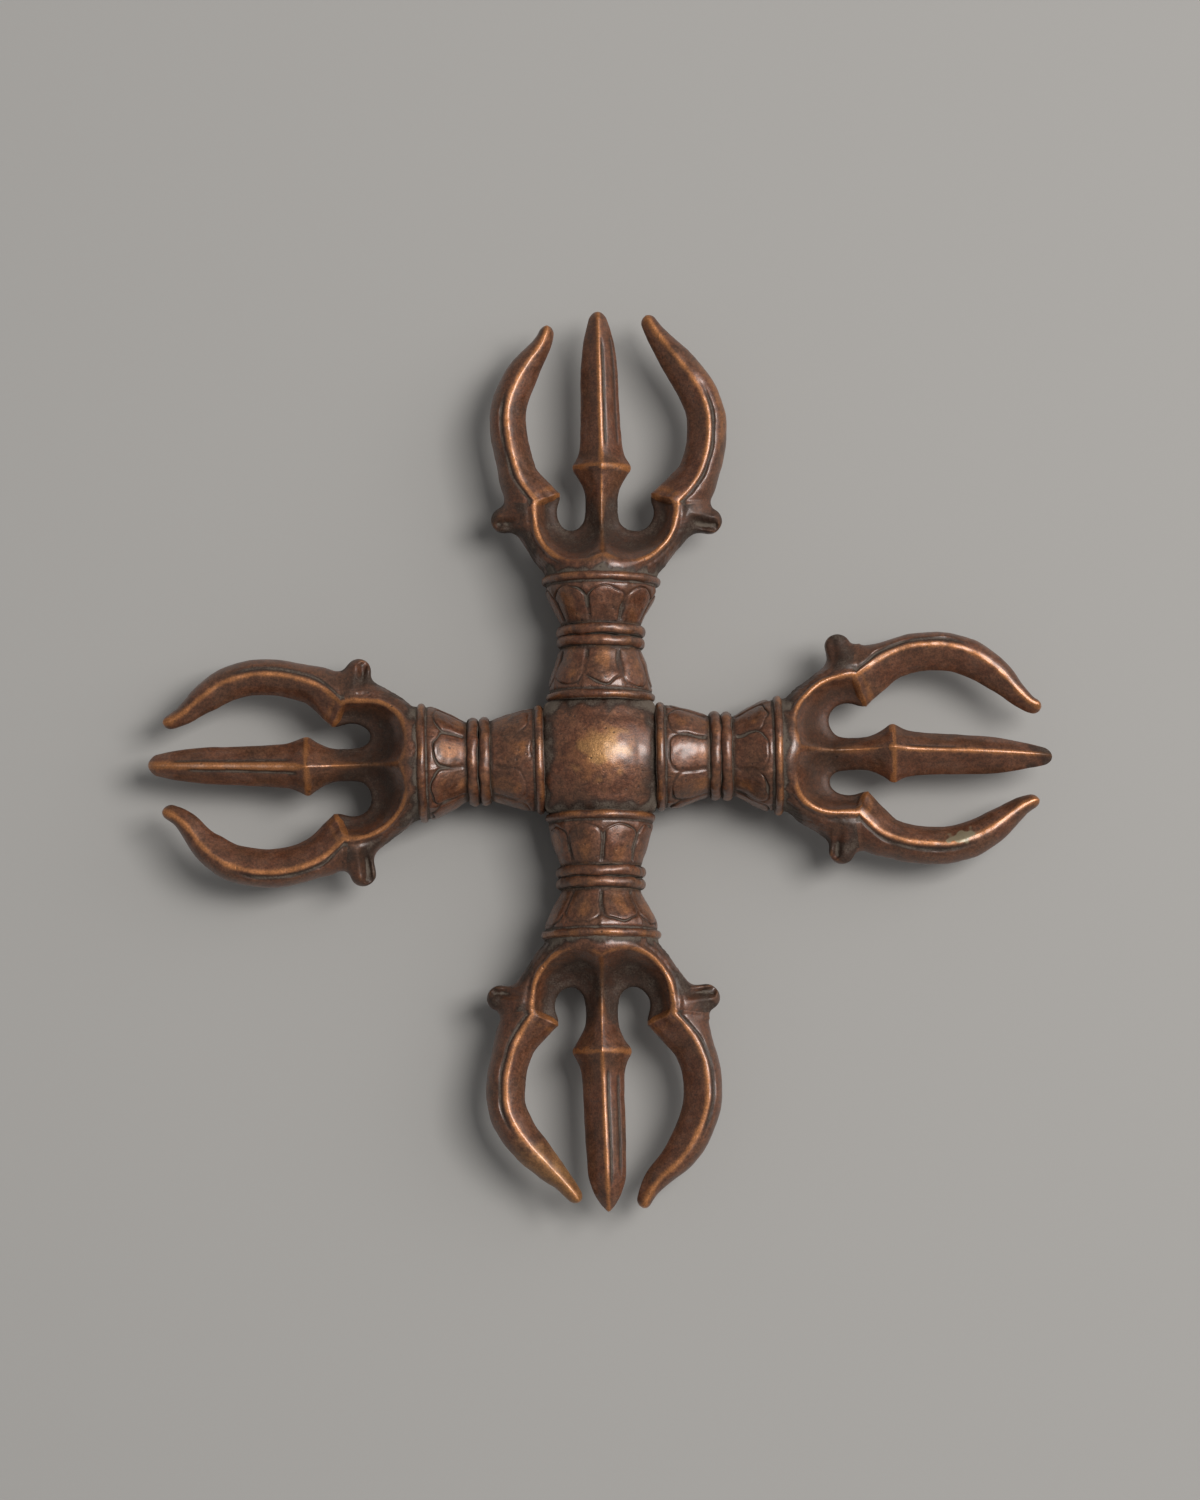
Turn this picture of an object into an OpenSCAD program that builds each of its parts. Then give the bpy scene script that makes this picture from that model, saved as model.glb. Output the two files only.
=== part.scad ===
// Crossed ritual sceptre of cast and patinated bronze, lying on its back.
// Four arms leave a domed hub. Each arm is a stack on a hidden spindle: two lotus cups set neck to neck
// with a pair of half-round rings between them, then a three-armed yoke that carries a straight centre blade
// and two bowed side blades on short tenons.
// Millimetres. The origin lies on the resting surface under the centre of the hub. +X is the east arm.

/* [Hub] */
// Width of the hub between the seats of opposite arms
hub_side = 18.4; // [15:0.1:26]
// Rise of the front dome above the arm axes
hub_front_rise = 10.4; // [8.5:0.1:13]
// Radius of the front and back domes
hub_dome_r = 20; // [18:0.5:40]
// Metal taken off each upright corner, measured on the diagonal
hub_corner_cut = 1.4; // [0.6:0.1:2.5]
// Metal kept between the blind ends of neighbouring sockets
hub_core_wall = 1; // [0.4:0.1:2]
// Height of the back dome above the resting surface
hub_floor_gap = 0.3; // [0.1:0.1:2]

/* [Lotus cups] */
// Inset of a hub-side rim from the edge of its seat
seat_margin = 0.3; // [0.3:0.1:2]
// Length of a hub-side cup
inner_cup_len = 8.9; // [6:0.1:12]
// Length of a head-side cup
outer_cup_len = 8.3; // [6:0.1:12]
// Diameter of a head-side rim
outer_rim_d = 19.8; // [16:0.1:26]
// Diameter of both necks, where the cups meet the rings
neck_d = 13.4; // [10:0.1:15]
// Width of the half-round bead on each rim
bead_w = 1.4; // [1:0.1:2.4]
// Inset of the bead from the face of its rim
bead_inset = 0.1; // [0.05:0.05:0.3]
// Width of the flat groove between bead and petals
bead_groove_w = 0.3; // [0.2:0.1:1]
// Step from the bead down to the petals
petal_step = 0.4; // [0.2:0.1:1]
// Swell of the petals beyond a straight cone
petal_swell = 0.25; // [0:0.05:0.6]
// Petals round one cup
petal_count = 8; // [6:1:12]
// Radius of the groove between two petals
petal_groove_r = 0.4; // [0.2:0.05:0.7]
// Depth of the worn flats that the rims rest on
rest_flat = 0.3; // [0.2:0.05:0.6]

/* [Waist rings] */
// Width of one ring along the arm
ring_w = 1.9; // [1.2:0.1:3]
// Height of a ring above the necks
ring_proud = 0.7; // [0.3:0.1:1.5]
// Flat edge on each side of a ring's round rim
ring_edge = 0.1; // [0.05:0.05:0.3]

/* [Spindle] */
// Diameter of the rod that carries the cups and rings
spindle_d = 6; // [4:0.1:8]
// Depth of the spindle socket in a yoke
yoke_socket = 4.5; // [3:0.1:5.5]
// Radial clearance of every spindle and tenon in its bore
bore_fit = 0.05; // [0.02:0.01:0.1]
// Room left at the blind end of every bore
end_gap = 0.3; // [0.1:0.1:0.6]
// Chamfer on the ends of spindles and tenons
rod_chamfer = 0.3; // [0.1:0.1:0.5]

/* [Yoke] */
// Step from the rim of the cup in to the root of the yoke
root_step = 0.4; // [0.2:0.1:1]
// Length from the seat on the cup to the seats of the side blades
yoke_arm_len = 13.2; // [11:0.1:16]
// Length from the seat on the cup to the crest of the collar
yoke_stem_len = 18.4; // [16:0.1:24]
// Distance of the side ridge from the arm axis, at the blade seat
arm_ridge = 12; // [11:0.1:15]
// Width of the side arm outside its ridge, at the blade seat
arm_out = 4.1; // [3.4:0.1:5]
// Height of the side ridge, at the blade seat
arm_half_h = 3.4; // [2.6:0.1:4.2]
// Radius of the round bay on each side of the stem
bay_r = 2.7; // [2.2:0.1:3.3]
// Distance of the bay from the arm axis
bay_across = 5.3; // [4.8:0.1:6.4]
// Length from the seat on the cup to the floor of the bay
bay_floor = 7.8; // [6.4:0.1:9]
// Widening of the scooped bay walls for each millimetre of height
bay_flare = 0.55; // [0.3:0.05:0.7]
// Half height of the stem at its thinnest
stem_half_h = 2.8; // [2.2:0.1:3.6]
// Half width of the collar crest
collar_half_w = 5; // [4:0.1:6]
// Half height of the collar crest
collar_half_h = 4.4; // [3.4:0.1:5.4]
// Reach of the side curl beyond the outer edge of the arm
curl_reach = 3; // [2:0.1:4.5]
// Half width of the side curl where it leaves the arm
curl_half_w = 2.8; // [2:0.1:3.4]
// Half height of the side curl where it leaves the arm
curl_half_h = 2.4; // [1.6:0.1:3]

/* [Blades] */
// Length of the centre blade from its collar to its point
centre_blade_len = 26.4; // [20:0.1:34]
// Half width of the centre blade just past its collar
centre_half_w = 3.7; // [2.8:0.1:4.6]
// Half height of the centre blade just past its collar
centre_half_h = 3.5; // [2.6:0.1:4.4]
// Reach of a side blade from its seat to its tip, along the arm
side_blade_len = 30; // [24:0.1:38]
// Bow of the side ridge beyond its place at the seat
side_bow = 4.8; // [3:0.1:7]
// Length from the seat to the widest point of the bow
side_bow_at = 12.5; // [9:0.1:16]
// Width of a side blade at its bow
side_w = 6.4; // [5:0.1:7.6]
// Half height of a side blade at its bow
side_half_h = 3.2; // [2.4:0.1:4]
// Overhang of the spur inside the edge of the bay
spur_reach = 0.6; // [0.2:0.1:1.2]
// Diameter of the tenon on a blade
tenon_d = 2.4; // [1.6:0.1:2.8]
// Length of the tenon on a blade
tenon_len = 3.2; // [2:0.1:4]

/* [Hand fitting] */
// Turn of the east, north, west and south arms off square, in degrees
arm_yaw = [0.3, -1, 0.9, -0.3]; // [-2:0.1:2]
// Drift of each centre blade's point to the left of its arm axis, in the same order
centre_drift = [-1, 0.8, -0.9, 0.9]; // [-2:0.1:2]
// East arm, left blade: outward lean, extra reach, distance of the tip from the arm axis
east_left = [0.4, -0.1, 7.3]; // [-3:0.1:12]
// East arm, right blade, in the same order
east_right = [-0.8, -0.8, 8.2]; // [-3:0.1:12]
// North arm, left blade, in the same order
north_left = [-0.8, -0.9, 9.3]; // [-3:0.1:12]
// North arm, right blade, in the same order
north_right = [1.2, 0.9, 7.4]; // [-3:0.1:12]
// West arm, left blade, in the same order
west_left = [0.5, -0.7, 6.8]; // [-3:0.1:12]
// West arm, right blade, in the same order
west_right = [-1.3, -1.1, 7.9]; // [-3:0.1:12]
// South arm, left blade, in the same order
south_left = [0.3, 0.9, 6.6]; // [-3:0.1:12]
// South arm, right blade, in the same order
south_right = [-0.2, -0.1, 3.8]; // [-3:0.1:12]
// Turn of the petals on the east, north, west and south arms, in degrees
petal_turn = [0, 6, 10, 22]; // [0:1:45]

/* [Hidden] */
$fn = 64;
bronze = [0.42, 0.25, 0.17];
worn_bronze = [0.55, 0.33, 0.2];
rod_bronze = [0.6, 0.45, 0.25];

// Overshoot of every cut past the face that it opens
slack = 1;
// Overlap of the two halves of a bay at mid height
seam = 0.01;

// Radii
hub_half = hub_side / 2;
inner_rim_r = hub_half - seat_margin;
outer_rim_r = outer_rim_d / 2;
neck_r = neck_d / 2;
ring_r = neck_r + ring_proud;
bead_r = bead_w / 2;
spindle_r = spindle_d / 2;
bore_r = spindle_r + bore_fit;
tenon_r = tenon_d / 2;
tenon_bore_r = tenon_r + bore_fit;
root_r = outer_rim_r - root_step;

// Heights
axis_z = max(inner_rim_r, outer_rim_r) - rest_flat;
hub_back_rise = axis_z - hub_floor_gap;

// Stations along an arm, from the centre of the hub
socket_floor = bore_r + hub_core_wall;
inner_ring_at = hub_half + inner_cup_len;
outer_ring_at = inner_ring_at + ring_w;
outer_cup_at = outer_ring_at + ring_w;
yoke_at = outer_cup_at + outer_cup_len;
side_seat_at = yoke_at + yoke_arm_len;
collar_at = yoke_at + yoke_stem_len;

// Plan of the yoke, from its seat on the cup
stem_half_w = bay_across - bay_r;
arm_inner = bay_across + bay_r;
bay_at = bay_floor + bay_r;
// Share of a blade's lean that the bay beside it takes up
bay_follow = 0.45;
// Profile of the turned root: shares of the bay's depth and of the root's radius
root_profile = [[0, 1], [0.16, 1], [0.36, 0.86], [0.68, 0.6], [1.23, 0.31]];
// First section of a side arm, inside the root: station, and shares of the root's radius
arm_start = 1;
arm_start_ridge = 0.58 * root_r;
arm_start_outer = 0.99 * root_r;
arm_start_h = 0.8 * root_r;
arm_steps = 5;
// First section of the stem, inside the root, the place where the stem begins to flare, and its gain half way
stem_start = 0.55 * bay_floor;
stem_start_h = 1.6 * stem_half_h;
stem_flare_at = mix(bay_at, yoke_stem_len, 0.4);
stem_flare_gain = 0.3;
// Sections of a side curl: shares of its reach, its backward hook, its half width and its half height
curl_hook = 1.2;
curl_sink = 1;
curl_sections = [
    [0, 0, 1, 1],
    [0.45, 0.1, 0.95, 0.9],
    [0.7, 0.5, 0.72, 0.7],
    [0.9, 0.9, 0.5, 0.5],
    [1, 1, 0.22, 0.22]
];

// Ridge of a bowed blade: its heading at the seat and at the tip, and the share of its run before the bow
side_seat_angle = 31;
side_tip_angle = -30;
side_turn = 0.4;
// Section of a bowed blade: share of its width outside the ridge, and of its size left at the tip
side_outer_share = 0.42;
side_tip_share = 0.36;
side_taper_power = 1.7;
// Shares of a blade's run taken by the spur, the collar's flare, the taper and the rounded points
spur_run = 0.16;
collar_run = 0.09;
centre_taper = 0.32;
side_point_run = 0.07;
centre_point_run = 0.3;
// Sections along a blade, set closer towards a side blade's tip
side_steps = 22;
side_crowding = 1.25;
centre_steps = 14;
// Roundness of a section's faces: 0.5 is flat
flat_face = 0.5;
full_face = 0.55;
round_face = 0.66;

arms = ["east", "north", "west", "south"];
fits = [
    [east_left, east_right],
    [north_left, north_right],
    [west_left, west_right],
    [south_left, south_right]
];
stack = ["spindle", "inner_lotus", "inner_ring", "outer_ring", "outer_lotus", "yoke"];
blades = ["centre_blade", "left_blade", "right_blade"];

// Value between a and b, smooth step, place of t within a span, and unit vector of an angle
function mix(a, b, t) = a + (b - a) * t;
function ease(t) = t * t * (3 - 2 * t);
function span(t, from, to) = min(1, max(0, (t - from) / (to - from)));
function heading(angle) = [cos(angle), sin(angle)];

// Direction of an arm
function arm_turn(arm) = 90 * arm + arm_yaw[arm];

// Point on a cubic that leaves p along direction u and reaches q along direction v
function bend(p, q, u, v, t) =
    let (reach = norm(q - p))
    mix(p, q, ease(t)) + reach * t * (1 - t) * ((1 - t) * u - t * v);

// Eight-sided section with a ridge above and below, a width on each side of it and a roundness for each face
function ridged(ridge, outer, inner, h, outer_round, inner_round) = [
    [ridge + outer, 0],
    [ridge + outer_round * outer, outer_round * h],
    [ridge, h],
    [ridge - inner_round * inner, inner_round * h],
    [ridge - inner, 0],
    [ridge - inner_round * inner, -inner_round * h],
    [ridge, -h],
    [ridge + outer_round * outer, -outer_round * h]
];

// Section with both sides alike
function diamond(w, h) = ridged(0, w, w, h, full_face, full_face);

// Section set upright at a plan point, with its width square to a heading
function placed(section, at, angle) = [
    for (p = section) [at[0] - p[0] * sin(angle), at[1] + p[0] * cos(angle), p[1]]
];

// Closed skin over a list of sections
module skin(rings) {
    sides = len(rings[0]);
    last = (len(rings) - 1) * sides;
    walls = [
        for (a = [0:sides:last - sides])
            for (j = [0:sides - 1])
                let (k = (j + 1) % sides, b = a + sides)
                each [[a + j, b + j, b + k], [a + j, b + k, a + k]]
    ];
    start_cap = [for (j = [1:sides - 2]) [0, j, j + 1]];
    end_cap = [for (j = [1:sides - 2]) [last, last + j + 1, last + j]];
    polyhedron([for (ring = rings) each ring], concat(walls, start_cap, end_cap));
}

// Frame of one arm: X outward along the arm axis, Y to its left, Z up
module arm_frame(arm) {
    translate([0, 0, axis_z]) rotate([0, 0, arm_turn(arm)]) children();
}

// Solid turned about the arm axis from a half profile of radius and length
module turned() {
    rotate([0, 90, 0]) rotate_extrude() children();
}

// Rod along the arm axis with chamfered ends
module rod(r, from, to) {
    turned() polygon([
        [0, from],
        [r - rod_chamfer, from],
        [r, from + rod_chamfer],
        [r, to - rod_chamfer],
        [r - rod_chamfer, to],
        [0, to]
    ]);
}

// Bore along the arm axis
module bore(r, from, to) {
    translate([from, 0, 0]) rotate([0, 90, 0]) cylinder(r = r, h = to - from);
}

// Everything below the resting surface, in the frame of an arm
module under_floor() {
    reach = 4 * yoke_at;
    translate([-reach / 2, -reach / 2, -axis_z - reach]) cube(reach);
}

// Four-sided block with a seat square to each arm, two shallow domes, rounded corners and four blind sockets
module hub() {
    height = 4 * hub_front_rise;
    stock = 4 * hub_side;
    color(bronze)
    translate([0, 0, axis_z])
    difference() {
        intersection() {
            intersection_for (arm = [0:3])
                rotate([0, 0, arm_turn(arm)]) translate([hub_half - stock / 2, 0, 0]) cube(stock, center = true);
            cylinder(r = hub_half * sqrt(2) - hub_corner_cut, h = height, center = true);
            translate([0, 0, hub_front_rise - hub_dome_r]) sphere(hub_dome_r);
            translate([0, 0, hub_dome_r - hub_back_rise]) sphere(hub_dome_r);
        }
        for (arm = [0:3]) rotate([0, 0, arm_turn(arm)]) bore(bore_r, socket_floor, hub_half + slack);
    }
}

// Rod from the hub's socket to the yoke's socket
module spindle(arm) {
    color(rod_bronze)
    arm_frame(arm)
    rod(spindle_r, socket_floor + end_gap, yoke_at + yoke_socket - end_gap);
}

// Half profile of a cup with its rim at zero and its neck at its full length
module cup_profile(length, rim_r) {
    petal_from = bead_inset + bead_w + bead_groove_w;
    petal_r = rim_r - petal_step;
    polygon([
        [bore_r, 0],
        [rim_r - bead_r, 0],
        [rim_r - bead_r, petal_from],
        [petal_r, petal_from + petal_step],
        [mix(petal_r, neck_r, 0.5) + petal_swell, mix(petal_from, length, 0.5)],
        [neck_r, length],
        [bore_r, length]
    ]);
    translate([rim_r - bead_r, bead_r + bead_inset]) circle(bead_r);
}

// Grooves that part the petals, laid along the slope of a cup
module petal_grooves(length, rim_r, turn) {
    from = [bead_inset + bead_w + bead_groove_w, rim_r - petal_step];
    slope = [length, neck_r] - from;
    for (i = [0:petal_count - 1])
        rotate([turn + (i + 0.5) * 360 / petal_count, 0, 0])
        translate([from[0], 0, from[1]])
        rotate([0, atan2(slope[0], slope[1]), 0])
        cylinder(r = petal_groove_r, h = norm(slope) + slack);
}

// Lotus cup on the spindle, with its rim at zero
module cup(length, rim_r, turn) {
    difference() {
        turned() cup_profile(length, rim_r);
        petal_grooves(length, rim_r, turn);
    }
}

// Cup seated on the hub by its rim
module inner_lotus(arm) {
    color(bronze)
    arm_frame(arm)
    difference() {
        translate([hub_half, 0, 0]) cup(inner_cup_len, inner_rim_r, petal_turn[arm]);
        under_floor();
    }
}

// Cup that carries the yoke on its rim
module outer_lotus(arm) {
    color(bronze)
    arm_frame(arm)
    difference() {
        translate([yoke_at, 0, 0]) mirror([1, 0, 0]) cup(outer_cup_len, outer_rim_r, petal_turn[arm]);
        under_floor();
    }
}

// Washer with a half-round rim, threaded on the spindle
module ring(arm, at) {
    round_r = ring_w / 2 - ring_edge;
    color(worn_bronze)
    arm_frame(arm)
    translate([at, 0, 0])
    turned() {
        translate([bore_r, 0]) square([ring_r - round_r - bore_r, ring_w]);
        translate([ring_r - round_r, ring_w / 2]) circle(round_r);
    }
}

// Turned root of a yoke
module yoke_root() {
    turned() polygon(concat(
        [[0, 0]],
        [for (p = root_profile) [p[1] * root_r, p[0] * bay_floor]],
        [[0, root_profile[len(root_profile) - 1][0] * bay_floor]]
    ));
}

// Side arm of a yoke, from inside its root to the seat of the side blade
module yoke_arm(lean) {
    skin([
        for (i = [0:arm_steps])
            let (
                u = i / arm_steps,
                x = mix(arm_start, yoke_arm_len, u),
                ridge = mix(arm_start_ridge, arm_ridge + lean, u * (2 - u)),
                outer_edge = mix(arm_start_outer, arm_ridge + lean + arm_out, u),
                inner_edge = mix(stem_half_w, arm_inner + lean, ease(span(x, bay_floor, yoke_arm_len))),
                h = mix(arm_start_h, arm_half_h, u)
            )
            placed(ridged(ridge, outer_edge - ridge, ridge - inner_edge, h, round_face, flat_face), [x, 0], 0)
    ]);
}

// Diamond stem that flares to the collar
module yoke_stem() {
    slim = [stem_half_w, stem_half_h];
    collar = [collar_half_w, collar_half_h];
    stations = [
        [stem_start, [stem_half_w, stem_start_h]],
        [bay_at, slim],
        [stem_flare_at, slim],
        [mix(stem_flare_at, yoke_stem_len, 0.5), mix(slim, collar, stem_flare_gain)],
        [yoke_stem_len, collar]
    ];
    skin([for (s = stations) placed(diamond(s[1][0], s[1][1]), [s[0], 0], 0)]);
}

// Leaf curl on the outer side of a side arm, hooked back towards the hub
module yoke_curl(lean) {
    from = [yoke_arm_len - curl_half_w, arm_ridge + lean + arm_out - curl_reach - 2 * curl_sink];
    run = 2 * (curl_reach + curl_sink);
    skin([
        for (s = curl_sections)
            placed(
                diamond(s[2] * curl_half_w, s[3] * curl_half_h),
                from + [-s[1] * curl_hook, s[0] * run],
                90
            )
    ]);
}

// Scooped bay beside the stem: narrow at mid height, wider above and below
module yoke_bay(lean) {
    depth = outer_rim_r + slack;
    for (down = [0, 1])
        mirror([0, 0, down])
        translate([bay_at, bay_across + bay_follow * lean, -seam])
        cylinder(r1 = bay_r, r2 = bay_r + bay_flare * depth, h = depth);
}

// Casting that joins the cup to the three blades
module yoke(arm) {
    color(bronze)
    arm_frame(arm)
    translate([yoke_at, 0, 0])
    difference() {
        union() {
            yoke_root();
            yoke_stem();
            for (side = [0, 1])
                mirror([0, side, 0]) {
                    yoke_arm(fits[arm][side][0]);
                    yoke_curl(fits[arm][side][0]);
                }
        }
        bore(bore_r, -slack, yoke_socket);
        bore(tenon_bore_r, yoke_stem_len - tenon_len - end_gap, yoke_stem_len + slack);
        for (side = [0, 1])
            mirror([0, side, 0]) {
                lean = fits[arm][side][0];
                yoke_bay(lean);
                translate([0, arm_ridge + lean, 0])
                    bore(tenon_bore_r, yoke_arm_len - tenon_len - end_gap, yoke_arm_len + slack);
            }
    }
}

// Share of full size left near a blade's point: a quarter ellipse with a small blunt end
function pointed(t, run) = sqrt(1 - 0.94 * pow(span(t, 1 - run, 1), 2));

// Straight blade with its tenon, seated on the collar
module centre_blade(arm) {
    color(worn_bronze)
    arm_frame(arm)
    translate([collar_at, 0, 0]) {
        skin([
            for (i = [0:centre_steps])
                let (
                    t = ease(i / centre_steps),
                    flare = pow(1 - span(t, 0, collar_run), 2),
                    taper = (1 - centre_taper * t) * pointed(t, centre_point_run),
                    w = mix(centre_half_w * taper, collar_half_w, flare),
                    h = mix(centre_half_h * taper, collar_half_h, flare)
                )
                placed(diamond(w, h), [t * centre_blade_len, t * centre_drift[arm]], 0)
        ]);
        rod(tenon_r, -tenon_len, slack);
    }
}

// Ridge line of a bowed blade in plan, from its seat to its tip, for t from 0 to 1
function side_ridge(fit, t) =
    let (
        seat = [0, arm_ridge + fit[0]],
        crest = [side_bow_at, arm_ridge + fit[0] + side_bow],
        tip = [side_blade_len + fit[1], fit[2]]
    )
    t < side_turn
        ? bend(seat, crest, heading(side_seat_angle), heading(0), t / side_turn)
        : bend(crest, tip, heading(0), heading(side_tip_angle), (t - side_turn) / (1 - side_turn));

// Heading of that ridge line, eased to square with the seat over the spur
function side_heading(fit, t) =
    let (step = 0.002, d = side_ridge(fit, min(1, t + step)) - side_ridge(fit, max(0, t - step)))
    atan2(d[1], d[0]) * ease(span(t, 0, spur_run));

// Bowed blade with its tenon, seated on a side arm of the yoke
module side_blade(arm, side) {
    fit = fits[arm][side];
    inner_seat = arm_ridge - arm_inner + spur_reach;
    color(worn_bronze)
    arm_frame(arm)
    translate([side_seat_at, 0, 0])
    mirror([0, side, 0]) {
        skin([
            for (i = [0:side_steps])
                let (
                    t = 1 - pow(1 - i / side_steps, side_crowding),
                    flare = pow(1 - span(t, 0, spur_run), 2),
                    thinning = mix(1, side_tip_share, pow(span(t, side_turn, 1), side_taper_power)),
                    taper = thinning * pointed(t, side_point_run),
                    outer = mix(side_outer_share * side_w * taper, arm_out, flare),
                    inner = mix((1 - side_outer_share) * side_w * taper, inner_seat, flare),
                    h = mix(side_half_h * taper, arm_half_h, flare)
                )
                placed(
                    ridged(0, outer, inner, h, round_face, flat_face),
                    side_ridge(fit, t),
                    side_heading(fit, t)
                )
        ]);
        translate([0, arm_ridge + fit[0], 0]) rod(tenon_r, -tenon_len, slack);
    }
}

hub();
for (arm = [0:3]) {
    name = arms[arm];
    spindle(arm);
    inner_lotus(arm);
    ring(arm, inner_ring_at);
    ring(arm, outer_ring_at);
    outer_lotus(arm);
    yoke(arm);
    centre_blade(arm);
    side_blade(arm, 0);
    side_blade(arm, 1);
}
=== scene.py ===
from functools import partial
import bpy
import numpy as np
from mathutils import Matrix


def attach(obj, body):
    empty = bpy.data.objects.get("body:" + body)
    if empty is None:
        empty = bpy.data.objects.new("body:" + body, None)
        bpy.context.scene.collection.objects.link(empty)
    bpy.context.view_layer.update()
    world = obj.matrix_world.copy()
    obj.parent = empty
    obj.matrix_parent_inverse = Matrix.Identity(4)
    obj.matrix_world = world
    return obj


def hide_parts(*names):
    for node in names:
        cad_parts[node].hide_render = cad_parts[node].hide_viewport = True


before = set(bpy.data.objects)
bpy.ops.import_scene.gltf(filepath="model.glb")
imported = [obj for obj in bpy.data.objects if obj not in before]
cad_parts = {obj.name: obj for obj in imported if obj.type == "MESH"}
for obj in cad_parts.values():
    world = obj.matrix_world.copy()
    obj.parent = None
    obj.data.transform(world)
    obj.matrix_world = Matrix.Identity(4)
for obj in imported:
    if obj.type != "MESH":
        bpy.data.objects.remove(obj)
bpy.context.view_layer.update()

# Hub: one block of cast bronze with a domed front and a flatter domed back. The four arms butt
# against its sides and hide them. Its borders and corners are darkened where the arms meet it: painted
# shade, with dirt along the seams. Handling has rubbed a golden patch on the crown.

millimetre = 0.001
arm_height = 9.6
arm_turns = {"east": 0.3, "north": 89.0, "west": 180.9, "south": 269.7}
hub_half = 9.45
hub_squareness = 11
hub_edge = 0.07
hub_front = 10.3
hub_back = 9.2
hub_dome = 13.5
hub_dome_limit = 150
hub_border = (6.0, 9.2)
hub_border_rise = 0.65
hub_levels = 150
hub_turns = 256
hub_lumps = ((0.018, 6), (0.008, 1.8))
hub_seed = 11
lump_waves = 14
wear_rounds = (7, 50)
golden_patch = (0.4, 0.8)
golden_reach = 3.4
rubbed_reach = 6.5
golden_brass = (0.33, 0.16, 0.05, 1)
pale_stain = (0.25, 0.2, 0.12, 1)
# Near-black brown: the colour of pits, and of the painted shade in hollows and creases.
soot_and_shade_colour = (0.027, 0.018, 0.013, 1)
scene = bpy.context.scene


def ease(value, start, end):
    """Smooth step: 0 before start, 1 past end, and between them three times the square of the share of the
    way, less twice its cube."""
    share = np.clip((value - start) / (end - start), 0, 1)
    return share * share * (3 - 2 * share)


def line_mark(distance, width):
    """Soft stroke: a bell curve, 1 on the line, falling with the square of the distance in widths."""
    return np.exp(-((distance / width) ** 2))


def cast_lumps(points, size, seed):
    """Uneven casting: plane waves of one wavelength, in drawn directions, summed to a spread of about 1."""
    draw = np.random.default_rng(seed)
    waves = draw.normal(size=(3, lump_waves))
    waves *= 2 * np.pi / size / np.linalg.norm(waves, axis=0)
    shift = draw.uniform(0, 2 * np.pi, lump_waves)
    return np.cos(points @ waves + shift).sum(-1) / np.sqrt(lump_waves / 2)


def uneven_cast(points, lumps, seed):
    """Height of coarse lumps and fine ones together. Each of the two has its depth and its size in mm."""
    (coarse, coarse_size), (fine, fine_size) = lumps
    return coarse * cast_lumps(points, coarse_size, seed) + fine * cast_lumps(points, fine_size, seed + 1)


def grid_skin(grid, rows_meet=False):
    """Points and faces of a grid whose columns close round. Its rows close too where they meet; if not, a fan
    to the mean of the end row closes each end. Faces come back outward, by the sign of the volume."""
    rows, columns = grid.shape[:2]
    index = np.arange(rows * columns).reshape(rows, columns)
    points = grid.reshape(-1, 3)
    ends = []
    if rows_meet:
        index = np.vstack([index, index[:1]])
    else:
        points = np.vstack([points, grid[0].mean(0), grid[-1].mean(0)])
        first_middle = np.full(columns, rows * columns)
        last_middle = first_middle + 1
        ends.append(np.stack([np.roll(index[0], -1), index[0], first_middle, first_middle], 1))
        ends.append(np.stack([index[-1], np.roll(index[-1], -1), last_middle, last_middle], 1))
    here, beyond = index[:-1], index[1:]
    walls = np.stack([here, np.roll(here, -1, 1), np.roll(beyond, -1, 1), beyond], -1).reshape(-1, 4)
    faces = np.vstack([walls] + ends)
    a, b, c, d = points[faces.T]
    volume = (np.cross(a, b) * c).sum() + (np.cross(a, c) * d).sum()
    return points, faces if volume > 0 else faces[:, [1, 0, 3, 2]]


def outward(points, faces):
    """Normal of each point: the sum, over its faces, of the cross product of the face's diagonals."""
    a, b, c, d = points[faces.T]
    across = np.cross(c - a, d - b)
    total = np.zeros_like(points)
    for corner in range(4):
        for axis in range(3):
            total[:, axis] += np.bincount(faces[:, corner], across[:, axis], len(points))
    return total / np.maximum(np.linalg.norm(total, axis=1), 1e-12)[:, None]


def lifted(points, faces, height):
    """Points moved out along their normals, each by its height."""
    return points + outward(points, faces) * height[:, None]


def standing_out(points, faces, rounds):
    """How far each point stands above its surroundings, in mm: the point less the mean of its
    neighbours, taken round after round, along the outward normal. Hollows come out below 0."""
    here = faces.T.ravel()
    there = np.roll(faces, -1, 1).T.ravel()
    start, end = np.concatenate([here, there]), np.concatenate([there, here])
    count = np.maximum(np.bincount(start, minlength=len(points)), 1)[:, None]
    level = points
    for _ in range(rounds):
        mean = [np.bincount(start, level[end, axis], len(points)) for axis in range(3)]
        level = 0.3 * level + 0.7 * np.stack(mean, 1) / count
    return ((points - level) * outward(points, faces)).sum(1)


def wear_dirt_and_shade(points, faces):
    """Two marks from the shape: rub on what stands out, finely or broadly, and darkening in what lies
    hollow, painted shade as well as dirt.
    """
    fine, broad = (standing_out(points, faces, rounds) for rounds in wear_rounds)
    rub = 0.45 * ease(broad, 0.05, 0.4) + 0.5 * ease(fine, 0.04, 0.16)
    painted_shade_and_grime = 0.45 * ease(-broad, 0.05, 0.4) + 0.55 * ease(-fine, 0.03, 0.13)
    return rub, painted_shade_and_grime


def on_arm(points, turn):
    """Arm coordinates in mm to the part's frame in metres: turned about the upright axis and lifted."""
    angle = np.radians(turn)
    spin = np.array([[np.cos(angle), -np.sin(angle), 0], [np.sin(angle), np.cos(angle), 0], [0, 0, 1]])
    placed = points @ spin.T + [0, 0, arm_height]
    placed[:, 2] = np.maximum(placed[:, 2], 0)
    return placed * millimetre


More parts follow.
